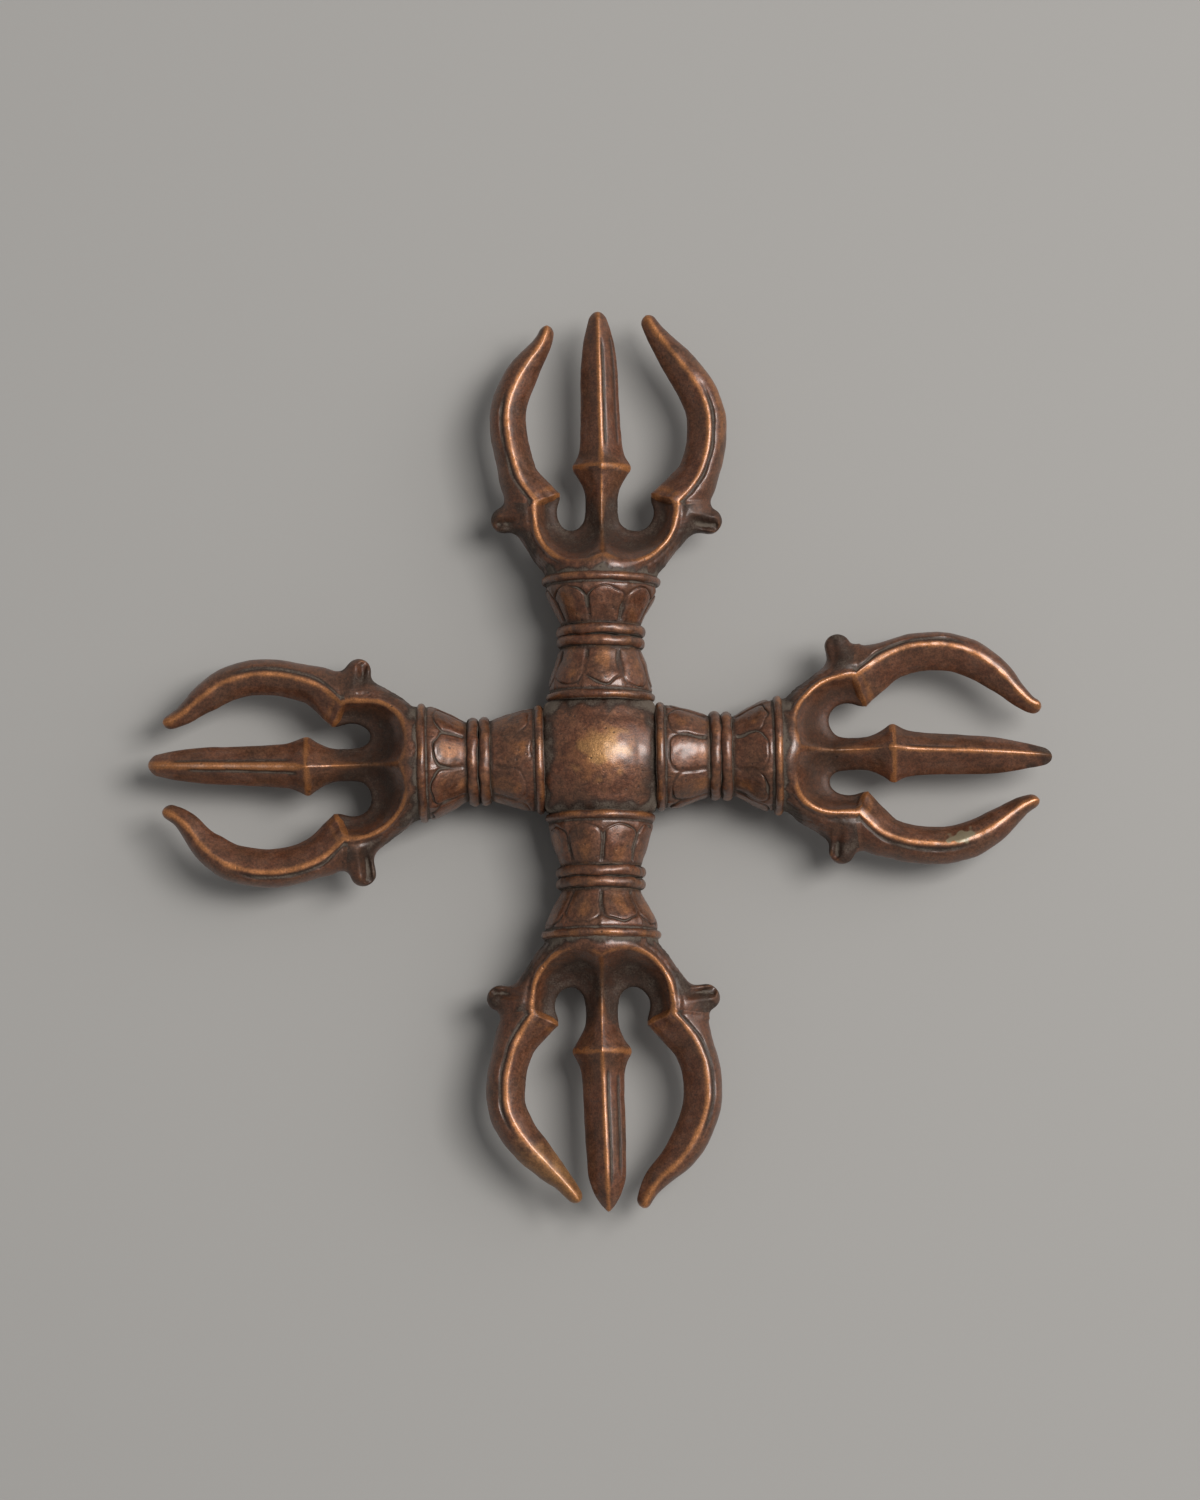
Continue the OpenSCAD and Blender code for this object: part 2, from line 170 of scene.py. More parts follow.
def bronze_piece(name, points, faces, marks, finish):
    """Mesh object from points in metres and faces, with its finish, and one named value at each point for
    each mark."""
    fan = faces[:, 2] == faces[:, 3]
    mesh = bpy.data.meshes.new(name)
    mesh.from_pydata(points.tolist(), [], faces[~fan].tolist() + faces[fan][:, :3].tolist())
    mesh.shade_smooth()
    for mark, values in marks.items():
        layer = mesh.attributes.new(mark, "FLOAT", "POINT")
        layer.data.foreach_set("value", np.clip(values, 0, 1).astype(np.float32))
    mesh.materials.append(finish)
    piece = bpy.data.objects.new(name, mesh)
    scene.collection.objects.link(piece)
    return piece


def hub_surface():
    """Pillow: for each turn, a meridian from the front pole to the back one. Its plan radius is a share of a
    squared-off outline, where a high power of both sides adds up to that of the half width, and its height is
    a share of the dome's height at that place. Rows are spaced evenly by length."""
    swing = np.linspace(0.0, np.pi, 4000)
    share = np.sin(swing) ** hub_edge
    height = np.sign(np.cos(swing)) * np.abs(np.cos(swing)) ** hub_edge
    mean_radius, mean_rise = 10.5, 8.5
    first, last = 0.003, 0.997
    length = np.r_[0, np.cumsum(np.hypot(np.diff(share) * mean_radius, np.diff(height) * mean_rise))]
    even = np.linspace(length[-1] * first, length[-1] * last, hub_levels)
    share = np.interp(even, length, share)[:, None]
    height = np.interp(even, length, height)[:, None]
    angle = np.linspace(0, 2 * np.pi, hub_turns, endpoint=False)[None]
    power = hub_squareness
    outline = hub_half / (np.abs(np.cos(angle)) ** power + np.abs(np.sin(angle)) ** power) ** (1 / power)
    x = share * outline * np.cos(angle)
    y = share * outline * np.sin(angle)
    drop = hub_dome - np.sqrt(hub_dome ** 2 - np.minimum(x * x + y * y, hub_dome_limit))
    border = hub_border_rise * (ease(np.abs(x), *hub_border) + ease(np.abs(y), *hub_border))
    rise = np.where(height > 0, hub_front, hub_back) - drop + border
    return np.stack([x, y, height * rise], -1)


patina_mix = bpy.data.node_groups.new("patinated bronze", "ShaderNodeTree")
patina_mix.interface.new_socket("Where", in_out="INPUT", socket_type="NodeSocketVector")
# Marks read from each piece: rub is wear; grime darkens hollows and creases, painted shade as well as real
# dirt and dust; brass, pale and pitting are stains and pits.
for socket in ("Rub", "Painted_shade_and_grime", "Brass", "Pale", "Pitting"):
    patina_mix.interface.new_socket(socket, in_out="INPUT", socket_type="NodeSocketFloat")
for socket, colour in (
    ("Brown", (0.118, 0.049, 0.023, 1)),
    ("Red brown", (0.152, 0.05, 0.02, 1)),
    ("Tan", (0.39, 0.15, 0.046, 1)),
    # Copper: bare metal on the most rubbed ridges, made pale so that it also stands in for their highlight.
    ("Copper_and_highlight", (0.6, 0.37, 0.265, 1)),
    ("Dirt", (0.105, 0.08, 0.059, 1)),
):
    made = patina_mix.interface.new_socket(socket, in_out="INPUT", socket_type="NodeSocketColor")
    made.default_value = colour
patina_mix.interface.new_socket("Base Color", in_out="OUTPUT", socket_type="NodeSocketColor")
for socket in ("Roughness", "Metallic", "Coat Weight", "Height"):
    patina_mix.interface.new_socket(socket, in_out="OUTPUT", socket_type="NodeSocketFloat")


def node(tree, kind, settings, inputs):
    """A node with its settings, and each named or numbered input given a value or a link from a socket."""
    made = tree.nodes.new("ShaderNode" + kind)
    for key, value in settings.items():
        setattr(made, key, value)
    for key, value in inputs.items():
        if isinstance(value, bpy.types.NodeSocket):
            tree.links.new(value, made.inputs[key])
        else:
            made.inputs[key].default_value = value
    return made


def share_of(value, low, high, start=0.0, end=1.0):
    """Smooth step of a value between low and high, from start to end."""
    inputs = {0: value, 1: low, 2: high, 3: start, 4: end}
    return node(patina_mix, "MapRange", {"interpolation_type": "SMOOTHSTEP"}, inputs).outputs[0]


def worked(kind, first, second):
    """One sum, product or difference of two values."""
    return node(patina_mix, "Math", {"operation": kind}, {0: first, 1: second}).outputs[0]


times = partial(worked, "MULTIPLY")
plus = partial(worked, "ADD")
less = partial(worked, "SUBTRACT")


def blend(share, first, second, kind="MIX"):
    """Colour between two, by a share, or the product of the two."""
    settings = {"data_type": "RGBA", "blend_type": kind}
    return node(patina_mix, "Mix", settings, {0: share, 6: first, 7: second}).outputs[2]


def grey(value):
    """A grey as bright as a value."""
    return node(patina_mix, "CombineColor", {}, {0: value, 1: value, 2: value}).outputs[0]


def grain(scale, detail):
    """Noise of a scale per metre."""
    inputs = {"Vector": where, "Scale": scale, "Detail": detail, "Roughness": 0.6}
    return node(patina_mix, "TexNoise", {}, inputs).outputs["Fac"]


given = patina_mix.nodes.new("NodeGroupInput").outputs
where = given["Where"]
cloud = grain(170.0, 3.0)
patchy = grain(420.0, 4.0)
mottle = grain(1700.0, 4.0)
speck = grain(3600.0, 2.0)
uneven = times(less(patchy, 0.5), 0.75)
flecks = times(less(speck, 0.5), 0.7)
brown = blend(share_of(cloud, 0.35, 0.65), given["Brown"], given["Red brown"])
shade = times(share_of(mottle, 0.3, 0.7, 0.72, 1.28), share_of(patchy, 0.3, 0.7, 0.72, 1.25))
brown = blend(1.0, brown, grey(shade), "MULTIPLY")
film = times(share_of(cloud, 0.42, 0.66), share_of(patchy, 0.4, 0.66))
brown = blend(times(film, 0.35), brown, given["Dirt"])
rubbed = plus(given["Rub"], uneven)
worn = share_of(rubbed, 0.14, 0.72)
# The most rubbed places take the pale copper: real wear, and a painted highlight along ridge crests.
bright = share_of(rubbed, 0.78, 1.4)
skin = blend(worn, brown, given["Tan"])
skin = blend(bright, skin, given["Copper_and_highlight"])
skin = blend(share_of(plus(given["Brass"], uneven), 0.2, 0.9), skin, golden_brass)
skin = blend(1.0, skin, grey(share_of(speck, 0.32, 0.68, 0.78, 1.22)), "MULTIPLY")
# Grime darkens towards the soot colour: painted shade in hollows and creases, with real dirt. Where it runs
# high with the flecks, grey dust lies too.
shade_and_grime_level = plus(given["Painted_shade_and_grime"], uneven)
painted_shade_and_soot = share_of(shade_and_grime_level, 0.05, 0.65)
skin = blend(times(painted_shade_and_soot, 0.8), skin, soot_and_shade_colour)
dusty = share_of(plus(shade_and_grime_level, flecks), 0.5, 1.0)
skin = blend(dusty, skin, given["Dirt"])
skin = blend(share_of(plus(given["Pale"], uneven), 0.35, 0.75), skin, pale_stain)
pores = node(patina_mix, "TexVoronoi", {"feature": "F1"}, {"Vector": where, "Scale": 700.0})
pits = times(share_of(pores.outputs["Distance"], 0.2, 0.09), share_of(patchy, 0.42, 0.6))
pits = times(pits, given["Pitting"])
skin = blend(times(pits, 0.75), skin, soot_and_shade_colour)
gloss = share_of(mottle, 0.3, 0.7, 0.4, 0.52)
gloss = less(gloss, times(bright, 0.1))
gloss = plus(gloss, times(painted_shade_and_soot, 0.2))
gloss = plus(gloss, times(dusty, 0.2))
clean = less(1.0, dusty)
lacquer = times(clean, less(0.45, times(painted_shade_and_soot, 0.38)))
metal = plus(times(worn, 0.25), plus(times(bright, 0.2), 0.35))
relief = plus(times(mottle, 0.6), times(speck, 0.3))
relief = less(relief, times(pits, 0.8))
told = patina_mix.nodes.new("NodeGroupOutput").inputs
patina_mix.links.new(skin, told["Base Color"])
patina_mix.links.new(gloss, told["Roughness"])
patina_mix.links.new(times(metal, clean), told["Metallic"])
patina_mix.links.new(lacquer, told["Coat Weight"])
patina_mix.links.new(relief, told["Height"])


def bronze_finish(name, own_values, coat_gloss, bump):
    """Material: the patina group with its own values, its marks read from the piece, under one shader."""
    material = bpy.data.materials.new(name)
    material.use_nodes = True
    tree = material.node_tree
    shader = tree.nodes["Principled BSDF"]
    patina = node(tree, "Group", {"node_tree": patina_mix}, own_values)
    place = node(tree, "TexCoord", {}, {})
    tree.links.new(place.outputs["Object"], patina.inputs["Where"])
    for mark in ("Rub", "Painted_shade_and_grime", "Brass", "Pale"):
        layer = node(tree, "Attribute", {"attribute_name": mark.lower()}, {})
        tree.links.new(layer.outputs["Fac"], patina.inputs[mark])
    raised = node(tree, "Bump", {}, {"Height": patina.outputs["Height"], "Strength": 0.45, "Distance": bump})
    for socket in ("Base Color", "Roughness", "Metallic", "Coat Weight"):
        tree.links.new(patina.outputs[socket], shader.inputs[socket])
    tree.links.new(raised.outputs["Normal"], shader.inputs["Normal"])
    shader.inputs["Coat Roughness"].default_value = coat_gloss
    shader.inputs["Coat IOR"].default_value = 1.7
    return material


cast_bronze = bronze_finish("cast bronze", {"Pitting": 0.8}, 0.22, 0.0003)
points, faces = grid_skin(hub_surface())
points = lifted(points, faces, uneven_cast(points, hub_lumps, hub_seed))
x, y, z = points.T
front = z > 0
from_patch = np.hypot((x - golden_patch[0]) / 1.2, y - golden_patch[1])
from_patch = from_patch + 0.8 * cast_lumps(points, 3, hub_seed + 2)
from_crown = np.hypot(x, y) + 0.6 * cast_lumps(points, 4, hub_seed + 4)
to_seam = np.maximum(np.abs(x), np.abs(y)) + 0.5 * cast_lumps(points, 3, hub_seed + 3)
to_corner = np.minimum(np.abs(x), np.abs(y))
marks = {
    "rub": 0.46 * line_mark(from_crown, rubbed_reach) * front,
    # Darkening at the borders and corners where the arms butt on: painted shade, with dirt.
    "painted_shade_and_grime": 0.8 * ease(to_seam, 6.2, 9.2) + 0.3 * ease(to_corner, 6.0, 8.5),
    "brass": 0.95 * line_mark(from_patch, golden_reach) * front,
}
piece = bronze_piece("domed_hub", on_arm(points, 0), faces, marks, cast_bronze)
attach(piece, "root")
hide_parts("hub")

# Spindles: one turned bronze rod in each arm, hidden in the bores of the stack. The frame's own solids
# stay, with a finish of their own.

rod_brown = {"Brown": (0.42, 0.27, 0.13, 1), "Red brown": (0.36, 0.22, 0.1, 1), "Pitting": 0.1}
rod_bronze = bronze_finish("rod bronze", rod_brown, 0.3, 0.00005)
for arm in arm_turns:
    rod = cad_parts["spindle_" + arm]
    rod.data.materials.clear()
    rod.data.materials.append(rod_bronze)

# Lotus cups: two turned cups of cast bronze in each arm, set neck to neck, each with a half-round bead on
# its rim and eight chased petals. The petals on the cups next to the hub are the more worn ones.

bore_radius = 3.05
end_steps = 6
cup_turns = 320
cup_steps = 96
cup_lumps = ((0.05, 4.5), (0.012, 1.6))
bead_back = 0.8
bead_half = 0.62
bead_rise = 0.52
bead_foot = 0.95
bead_foot_depth = 0.15
petals = 8
petal_half = 0.475
petal_arch = 0.62
petal_below_bead = 1.6
petal_line_depth = 0.32
petal_line_half = 0.27
petal_lip = 0.06
petal_lip_inset = 0.45
petal_swell = 0.16
petal_dart = 0.22


def by_arm(east, north, west, south):
    """One value for each arm."""
    return {"east": east, "north": north, "west": west, "south": south}


cup_kinds = {
    "inner_lotus": {"neck": 18.1, "way": -1, "length": 8.9, "rim": 9.05,
                    "along": (0, 1.4, 3.6, 5.4, 7.4), "radius": (6.65, 7.05, 7.8, 8.3, 8.55)},
    "outer_lotus": {"neck": 21.9, "way": 1, "length": 8.3, "rim": 9.9,
                    "along": (0, 0.7, 3.0, 5.7, 6.8), "radius": (6.55, 6.75, 7.95, 9.15, 9.2)},
}
petal_turn = {"inner_lotus": by_arm(0, 2.5, 8, 20), "outer_lotus": by_arm(0, 6, 10, 22)}
petal_depth = {"inner_lotus": by_arm(1.0, 0.75, 0.45, 0.85), "outer_lotus": by_arm(1.0, 1.0, 1.0, 0.9)}


def through(value, stations, heights):
    """Cubic through stations: spans that meet at each station with the slope of its two neighbours."""
    stations, heights = np.array(stations, float), np.array(heights, float)
    slope = np.gradient(heights, stations)
    value = np.clip(value, stations[0], stations[-1])
    i = np.clip(np.searchsorted(stations, value) - 1, 0, len(stations) - 2)
    run = stations[i + 1] - stations[i]
    t = (value - stations[i]) / run
    ends = heights[i] + (heights[i + 1] - heights[i]) * t * t * (3 - 2 * t)
    return ends + run * t * (1 - t) * ((1 - t) * slope[i] - t * slope[i + 1])


def ring_loop(outer_along, outer_radius, from_along, to_along):
    """Closed half section of a turned piece: its outside, down one end, back along the bore and up again."""
    down = np.linspace(outer_radius[-1], bore_radius, end_steps + 1)[1:]
    up = np.linspace(bore_radius, outer_radius[0], end_steps + 1)[:-1]
    along = np.r_[outer_along, np.full(end_steps, to_along), np.full(end_steps, from_along)]
    return along, np.r_[outer_radius, down, up]


def cup_surface(cup, turn, depth, seed):
    """Turned cup: a radius for each length from the neck and angle round. It is the cup's outline, plus the
    bead's half round at the rim, plus the petals: an incised outline, a low lip inside it, a swell and darts
    between. Also the darkening in its creases, painted shade with dirt, and the rub on its bead and petals."""
    along = np.linspace(0, cup["length"], cup_steps)
    bead_at = cup["length"] - bead_back
    bead_edge = cup["rim"] - bead_rise
    bead = np.sqrt(np.clip(1 - ((along - bead_at) / bead_half) ** 2, 0, 1))
    body = through(along, cup["along"], cup["radius"])
    body = np.where(along > bead_at, bead_edge, body)
    outline = np.where(bead > 0, np.maximum(body, bead_edge + bead_rise * bead), body)
    loop_along, loop_radius = ring_loop(along, outline, 0, cup["length"])
    turns = np.linspace(0, 2 * np.pi, cup_turns, endpoint=False)
    from_neck, angle = np.meshgrid(loop_along, turns, indexing="ij")
    radius = np.repeat(loop_radius[:, None], cup_turns, 1)
    plain = np.stack([from_neck, radius * np.cos(angle), radius * np.sin(angle)], -1)
    draw = np.random.default_rng(seed)
    drawn_along = from_neck + 0.12 * cast_lumps(plain, 2.6, seed + 1)
    drawn_angle = angle - np.radians(turn) + 0.014 * cast_lumps(plain, 3.1, seed + 2)
    step = 2 * np.pi / petals
    count = np.floor(drawn_angle / step + 0.5)
    which = count.astype(int) % petals
    across = (drawn_angle - count * step) * radius
    half = petal_half * step * radius * (1 + 0.03 * draw.normal(size=petals)[which])
    top = bead_at - petal_below_bead + 0.2 * draw.normal(size=petals)[which]
    arch = petal_arch * half
    in_arch = half - np.hypot(across, (drawn_along - top + arch) / petal_arch)
    inside = np.where(drawn_along > top - arch, in_arch, half - np.abs(across))
    worn = 0.45 + 0.55 * ease(cast_lumps(plain, 6.0, seed + 3), -1.0, 1.0)
    fade = ease(from_neck, 0.2, 1.0) * depth * worn
    relief = -petal_line_depth * line_mark(inside, petal_line_half)
    relief += petal_lip * line_mark(inside - petal_lip_inset, 0.25)
    relief += petal_swell * ease(inside, 0.0, 1.2)
    between = ease(-inside, 0.2, 0.6) * ease(from_neck, top - arch, top)
    relief += petal_dart * between * line_mark(np.abs(across) - half - 0.2, 0.5)
    relief -= bead_foot_depth * line_mark(from_neck - bead_at + bead_foot, 0.25)
    outside = (np.arange(len(loop_along)) < cup_steps)[:, None] & (from_neck < bead_at - bead_half)
    radius = radius + np.where(outside, relief * fade, 0)
    x = cup["neck"] + cup["way"] * from_neck
    grid = np.stack([x, radius * np.cos(angle), radius * np.sin(angle)], -1)
    crease = 0.7 * line_mark(from_neck - bead_at + 0.85, 0.3) + 0.7 * line_mark(from_neck, 0.6)
    crease += 0.7 * line_mark(inside, 0.4) * fade + 0.8 * ease(from_neck, cup["length"] - 0.3, cup["length"])
    swell_rub = 0.34 * ease(inside, 0.6, 2.0) * ease(bead_at - from_neck, 0.8, 1.6)
    rub = 0.3 * np.interp(from_neck, along, bead ** 3) + swell_rub
    return grid, crease.ravel(), rub.ravel()


for number, (arm, turn) in enumerate(arm_turns.items()):
    for kind_number, (kind, cup) in enumerate(cup_kinds.items()):
        seed = 100 + 20 * number + 10 * kind_number
        grid, crease, cup_rub = cup_surface(cup, petal_turn[kind][arm], petal_depth[kind][arm], seed)
        points, faces = grid_skin(grid, rows_meet=True)
        points = lifted(points, faces, uneven_cast(points, cup_lumps, seed + 5))
        rub, painted_shade_and_grime = wear_dirt_and_shade(points, faces)
        handled = ease(cast_lumps(points, 5.0, seed + 7), -1.6, 0.8)
        # Darkening in the cup's hollows, creases and petal lines: painted shade, with dirt.
        marks = {"rub": (0.7 * rub + cup_rub) * handled, "painted_shade_and_grime": painted_shade_and_grime + crease}
        piece = bronze_piece("%s_cup_%s" % (kind, arm), on_arm(points, turn), faces, marks, cast_bronze)
        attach(piece, "root")
        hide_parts("%s_%s" % (kind, arm))

# Waist rings: two half-round bronze rings side by side on each spindle, between the necks of the two cups.
# Their crowns are rubbed; their low flanks and the groove between them are darkened, painted shade with dirt.

ring_bronze = bronze_finish("ring bronze", {"Copper_and_highlight": (0.55, 0.35, 0.23, 1), "Pitting": 0.5}, 0.28, 0.00016)
ring_turns = 256
ring_steps = 34
ring_width = 1.9
ring_edge = 6.5
ring_crown = 7.4
ring_lumps = ((0.06, 3.5), (0.015, 1.4))
ring_places = {"inner_ring": 18.1, "outer_ring": 20.0}


def ring_surface(at, seed):
    """Turned ring: a half oval from edge radius to crown radius, carried round the arm axis with a slight
    sway along it, the sum of two cosines of the angle."""
    across = np.sin(np.linspace(-np.pi / 2, np.pi / 2, ring_steps))
    crown = ring_edge + (ring_crown - ring_edge) * np.sqrt(np.clip(1 - across * across, 0, 1))
    along, radius = ring_loop(0.5 * ring_width * (across + 1), crown, 0, ring_width)
    angle = np.linspace(0, 2 * np.pi, ring_turns, endpoint=False)[None]
    sway = 0.05 * np.cos(angle + seed) + 0.04 * np.cos(2 * angle + 2 * seed)
    x = at + along[:, None] + sway * ease(radius[:, None], 6.0, 7.0)
    radius = radius[:, None] + 0 * angle
    return np.stack([x, radius * np.cos(angle), radius * np.sin(angle)], -1)


for number, (arm, turn) in enumerate(arm_turns.items()):
    for kind_number, (kind, at) in enumerate(ring_places.items()):
        seed = 200 + 20 * number + 10 * kind_number
        points, faces = grid_skin(ring_surface(at, seed), rows_meet=True)
        points = lifted(points, faces, uneven_cast(points, ring_lumps, seed))
        out = np.hypot(points[:, 1], points[:, 2])
        # Darkening on the rings' low flanks and in the groove: painted shade, with dirt.
        marks = {"rub": 0.25 * ease(out, 7.0, ring_crown), "painted_shade_and_grime": 0.9 * ease(-out, -7.25, -6.75)}
        piece = bronze_piece("waist_%s_%s" % (kind, arm), on_arm(points, turn), faces, marks, ring_bronze)
        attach(piece, "root")
        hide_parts("%s_%s" % (kind, arm))

# Yokes: one bronze casting at the head of each arm. A bell scooped out by two bays leaves two U ridges, a
# ridged stem with a collar between them, two side arms with spurs, and a leaf curl outside each.

yoke_cell = 0.2
on_cut = 0.02
yoke_seat = 30.0
yoke_low = np.array([yoke_seat - 0.4, -21.9, -9.7])
yoke_high = np.array([49.1, 21.9, 9.7])
yoke_lumps = ((0.03, 4.0), (0.008, 1.5))
side_ways = (1, -1)
bay_along = 41.1
bay_half_length = 3.1
bay_wall = 0.7
bay_past_spur = 0.5
bay_fillet = 0.9
bay_line_depth = 0.36
bay_line_below = 1.2
stem_from = 38.5
stem_half = 2.6
stem_high = 3.0
stem_squareness = 1.2
stem_flare_from = 43.0
stem_flare_power = 1.8
stem_fillet = 0.5
stem_reach = 5.3
collar_along = 48.6
collar_half = 5.25
collar_rise = 1.6
collar_round = 0.9
seam_along = 42.5
seam_ridge = 11.6
seam_slope = 0.13
seam_crest = 0.45
spur_along = 44.3
spur_tip = by_arm((7.9, 6.3), (6.9, 8.2), (8.0, 6.4), (7.5, 7.2))
blade_lean = by_arm((0.4, -0.8), (-0.8, 1.2), (0.5, -1.3), (0.3, -0.2))
head_twist = by_arm(0.16, 0.0, 0.1, 0.0)
shoulder_out = by_arm((0.9, 0.0), (0.0, 0.0), (0.0, 0.0), (0.5, 0.0))
# How dark each arm's bays are made: painted shade in the scoops, with grey dust.
bay_shade_and_dust = by_arm(0.42, 0.56, 0.52, 0.58)
curl_root = (40.8, 13.4)
curl_end = 39.7
curl_end_half = 2.15
curl_half = 2.6
curl_half_loss = 0.45
curl_thick = 3.3
curl_thick_loss = 1.3
curl_fillet = 1.8
curl_reach = by_arm((20.0, 18.2), (18.3, 20.0), (20.2, 17.7), (19.5, 18.9))
curl_hollow = by_arm((0.2, 0.7), (0.6, 0.9), (0.9, 0.9), (0.9, 0.7))
leaf_along = 39.3
leaf_depth = 1.2
leaf_lip = 0.2
bell_along = (30.0, 30.7, 32.5, 34.3, 37.0, 40.0, 42.3, 43.4, 50.0)
bell_wide = (9.3, 9.45, 10.9, 12.1, 14.0, 15.6, 16.6, 17.0, 18.0)
bell_high = (9.35, 9.35, 9.2, 8.7, 7.8, 6.6, 5.6, 5.3, 5.0)
scoop_along = (30.0, 34.0, 36.0, 38.0, 40.0, 43.0, 45.0)
scoop_rise = (0.205, 0.225, 0.24, 0.28, 0.31, 0.26, 0.25)


def round_max(a, b, fillet):
    """The larger of two values, plus a quarter of the fillet times the square of how near to equal they are,
    as a share of the fillet."""
    near = np.maximum(fillet - np.abs(a - b), 0) / fillet
    return np.maximum(a, b) + near * near * fillet / 4


def seam_line(side, lean, spur):
    """Where a side arm ends, along the arm: a slant from the ridge to the spur, and nearly square outside."""
    ridge = seam_ridge + lean
    slant = (ridge - side) * (spur_along - seam_along) / (ridge - spur)
    return seam_along + np.where(side < ridge, slant, seam_slope * (side - ridge))


def bell_depth(x, y, z, arm):
    """Depth outside the bell, an oval round the arm axis: the oval's own measure, 1 on its skin, less one,
    over its slope. The half width takes in each side's lean and shoulder."""
    wide = through(x, bell_along, bell_wide) + np.where(y > 0, *blade_lean[arm]) * ease(x, 33.0, 43.4)
    wide = wide + np.where(y > 0, *shoulder_out[arm]) * ease(x, 39.0, 43.0)
    high = through(x, bell_along, bell_high)
    near = np.sqrt((y / wide) ** 2 + (z / high) ** 2) + 1e-9
    return near * (near - 1) / (np.sqrt((y / wide ** 2) ** 2 + (z / high ** 2) ** 2) + 1e-9)


def bay_depth(x, side, tall, rise, lean, spur):
    """Depth outside what a bay leaves, and depth above its scoop. The bay is an oval hole, open ahead between
    stem and spur. Its scoop takes what is higher than a wall plus a rise times the square of the distance
    from the hole. A low crest follows the seam of the side arm."""
    bay_half = 0.5 * (spur + bay_past_spur - stem_half)
    ahead, across = x - bay_along, side - stem_half - bay_half
    oval = np.hypot(ahead / bay_half_length, across / bay_half)
    steep = np.hypot(ahead / bay_half_length ** 2, across / bay_half ** 2) + 1e-6
    off = np.where((ahead > 0) & (across < 0), stem_half - side, oval * (oval - 1) / steep)
    beyond = np.maximum(off, 0)
    slope = 2 * rise * beyond
    above = (tall - bay_wall - rise * beyond ** 2) / np.sqrt(1 + slope * slope)
    slot = np.maximum(-ahead, np.abs(side - 0.5 * (stem_half + spur)) - 0.5 * (spur - stem_half))
    hole = round_max(-off, -slot, 0.4)
    crest = line_mark(x - seam_line(side, lean, spur), 0.8) * ease(side, spur, spur + 1.2)
    crest = crest * ease(-side, -seam_ridge - lean, -10 - lean)
    return round_max(hole, above, bay_fillet) - seam_crest * crest * ease(tall, 0.2, 0.8), above


def curl_depth(x, side, tall, lean, reach, hollow):
    """Depth outside a leaf curl: a finger of oval section about a straight run, tapering to its end, with a
    leaf chased along it, a hollow stroke between two lips."""
    start = np.array([curl_root[0], curl_root[1] + 0.9 * lean])
    run = np.array([curl_end, reach - curl_end_half]) - start
    share = np.clip(((x - start[0]) * run[0] + (side - start[1]) * run[1]) / (run @ run), 0, 1)
    gap = np.hypot(x - start[0] - share * run[0], side - start[1] - share * run[1])
    radius = curl_half - curl_half_loss * share
    thick = curl_thick - curl_thick_loss * share
    finger = (np.sqrt((gap / radius) ** 2 + (tall / thick) ** 2) - 1) * np.minimum(radius, thick)
    leaf = x - leaf_along + 0.1 * (side - lean - 14.0)
    length = ease(side - lean, 13.2, 14.4) * ease(reach - side, 0.4, 1.3)
    lips = line_mark(leaf - 1.25, 0.45) + line_mark(leaf + 1.1, 0.4)
    chased = hollow * (leaf_depth * line_mark(leaf, 0.65) - leaf_lip * lips)
    return finger + chased * length * ease(tall, 0.2, 0.9)


def yoke_parts(p, arm):
    """Depths outside the bell with its curls, and outside what each bay leaves. On the bell's outside, a line
    is chased below the edge of each scoop."""
    x, y, z = p[..., 0], p[..., 1], p[..., 2]
    tall = np.abs(z)
    bell = bell_depth(x, y, z, arm)
    rise = through(x, scoop_along, scoop_rise)
    bays = []
    for which, way in enumerate(side_ways):
        side = way * y
        lean = blade_lean[arm][which]
        bay, above = bay_depth(x, side, tall, rise, lean, spur_tip[arm][which])
        bays.append(bay)
        chased = bay_line_depth * line_mark(-above - bay_line_below, 0.4)
        bell = bell + ease(side, 5.0, 8.0) * chased
        finger = curl_depth(x, side, tall, lean, curl_reach[arm][which], curl_hollow[arm][which])
        bell = -round_max(-bell, -finger, curl_fillet)
    return bell, bays[0], bays[1]


def stem_depth(p):
    """Depth outside the stem: both sides over their half sizes, taken to a power between a diamond's and an
    oval's. It is even, then flares out to the collar, whose crest is rounded off."""
    x = p[..., 0]
    run = collar_along - stem_flare_from
    flare = np.clip((x - stem_flare_from) / run, 0, 1) ** stem_flare_power
    steep = stem_flare_power / run
    flare = flare - steep * np.maximum(x - collar_along + collar_round, 0) ** 2 / (2 * collar_round)
    wide, high = stem_half + (collar_half - stem_half) * flare, stem_high + collar_rise * flare
    power = stem_squareness
    section = ((np.abs(p[..., 1]) / wide) ** power + (np.abs(p[..., 2]) / high) ** power) ** (1 / power) - 1
    return round_max(section * 0.75 * np.minimum(wide, high), stem_from - x, 1.0)


def yoke_body(p, arm):
    """Depth outside the yoke's skin, before its ends are cut: the bell less both bays, with the stem added.
    The ridge between the bays is rounder towards the cup."""
    bell, left_bay, right_bay = yoke_parts(p, arm)
    bays = round_max(left_bay, right_bay, 0.4 + 1.2 * ease(-p[..., 0], -40.0, -34.0))
    return -round_max(-round_max(bell, bays, bay_fillet), -stem_depth(p), stem_fillet)


def end_line(y, arm):
    """Where the yoke is cut ahead: at the collar's crest on the stem, at the seams on the side arms."""
    end = np.full_like(y, collar_along)
    for which, way in enumerate(side_ways):
        seam = seam_line(way * y, blade_lean[arm][which], spur_tip[arm][which])
        end = np.where(way * y > stem_reach, seam, end)
    return end


def yoke_field(p, arm):
    """The yoke's body with its ends cut: the largest of its own depth and those past the seat and the end."""
    x = p[..., 0]
    return np.maximum(np.maximum(yoke_body(p, arm), yoke_seat - x), x - end_line(p[..., 1], arm))


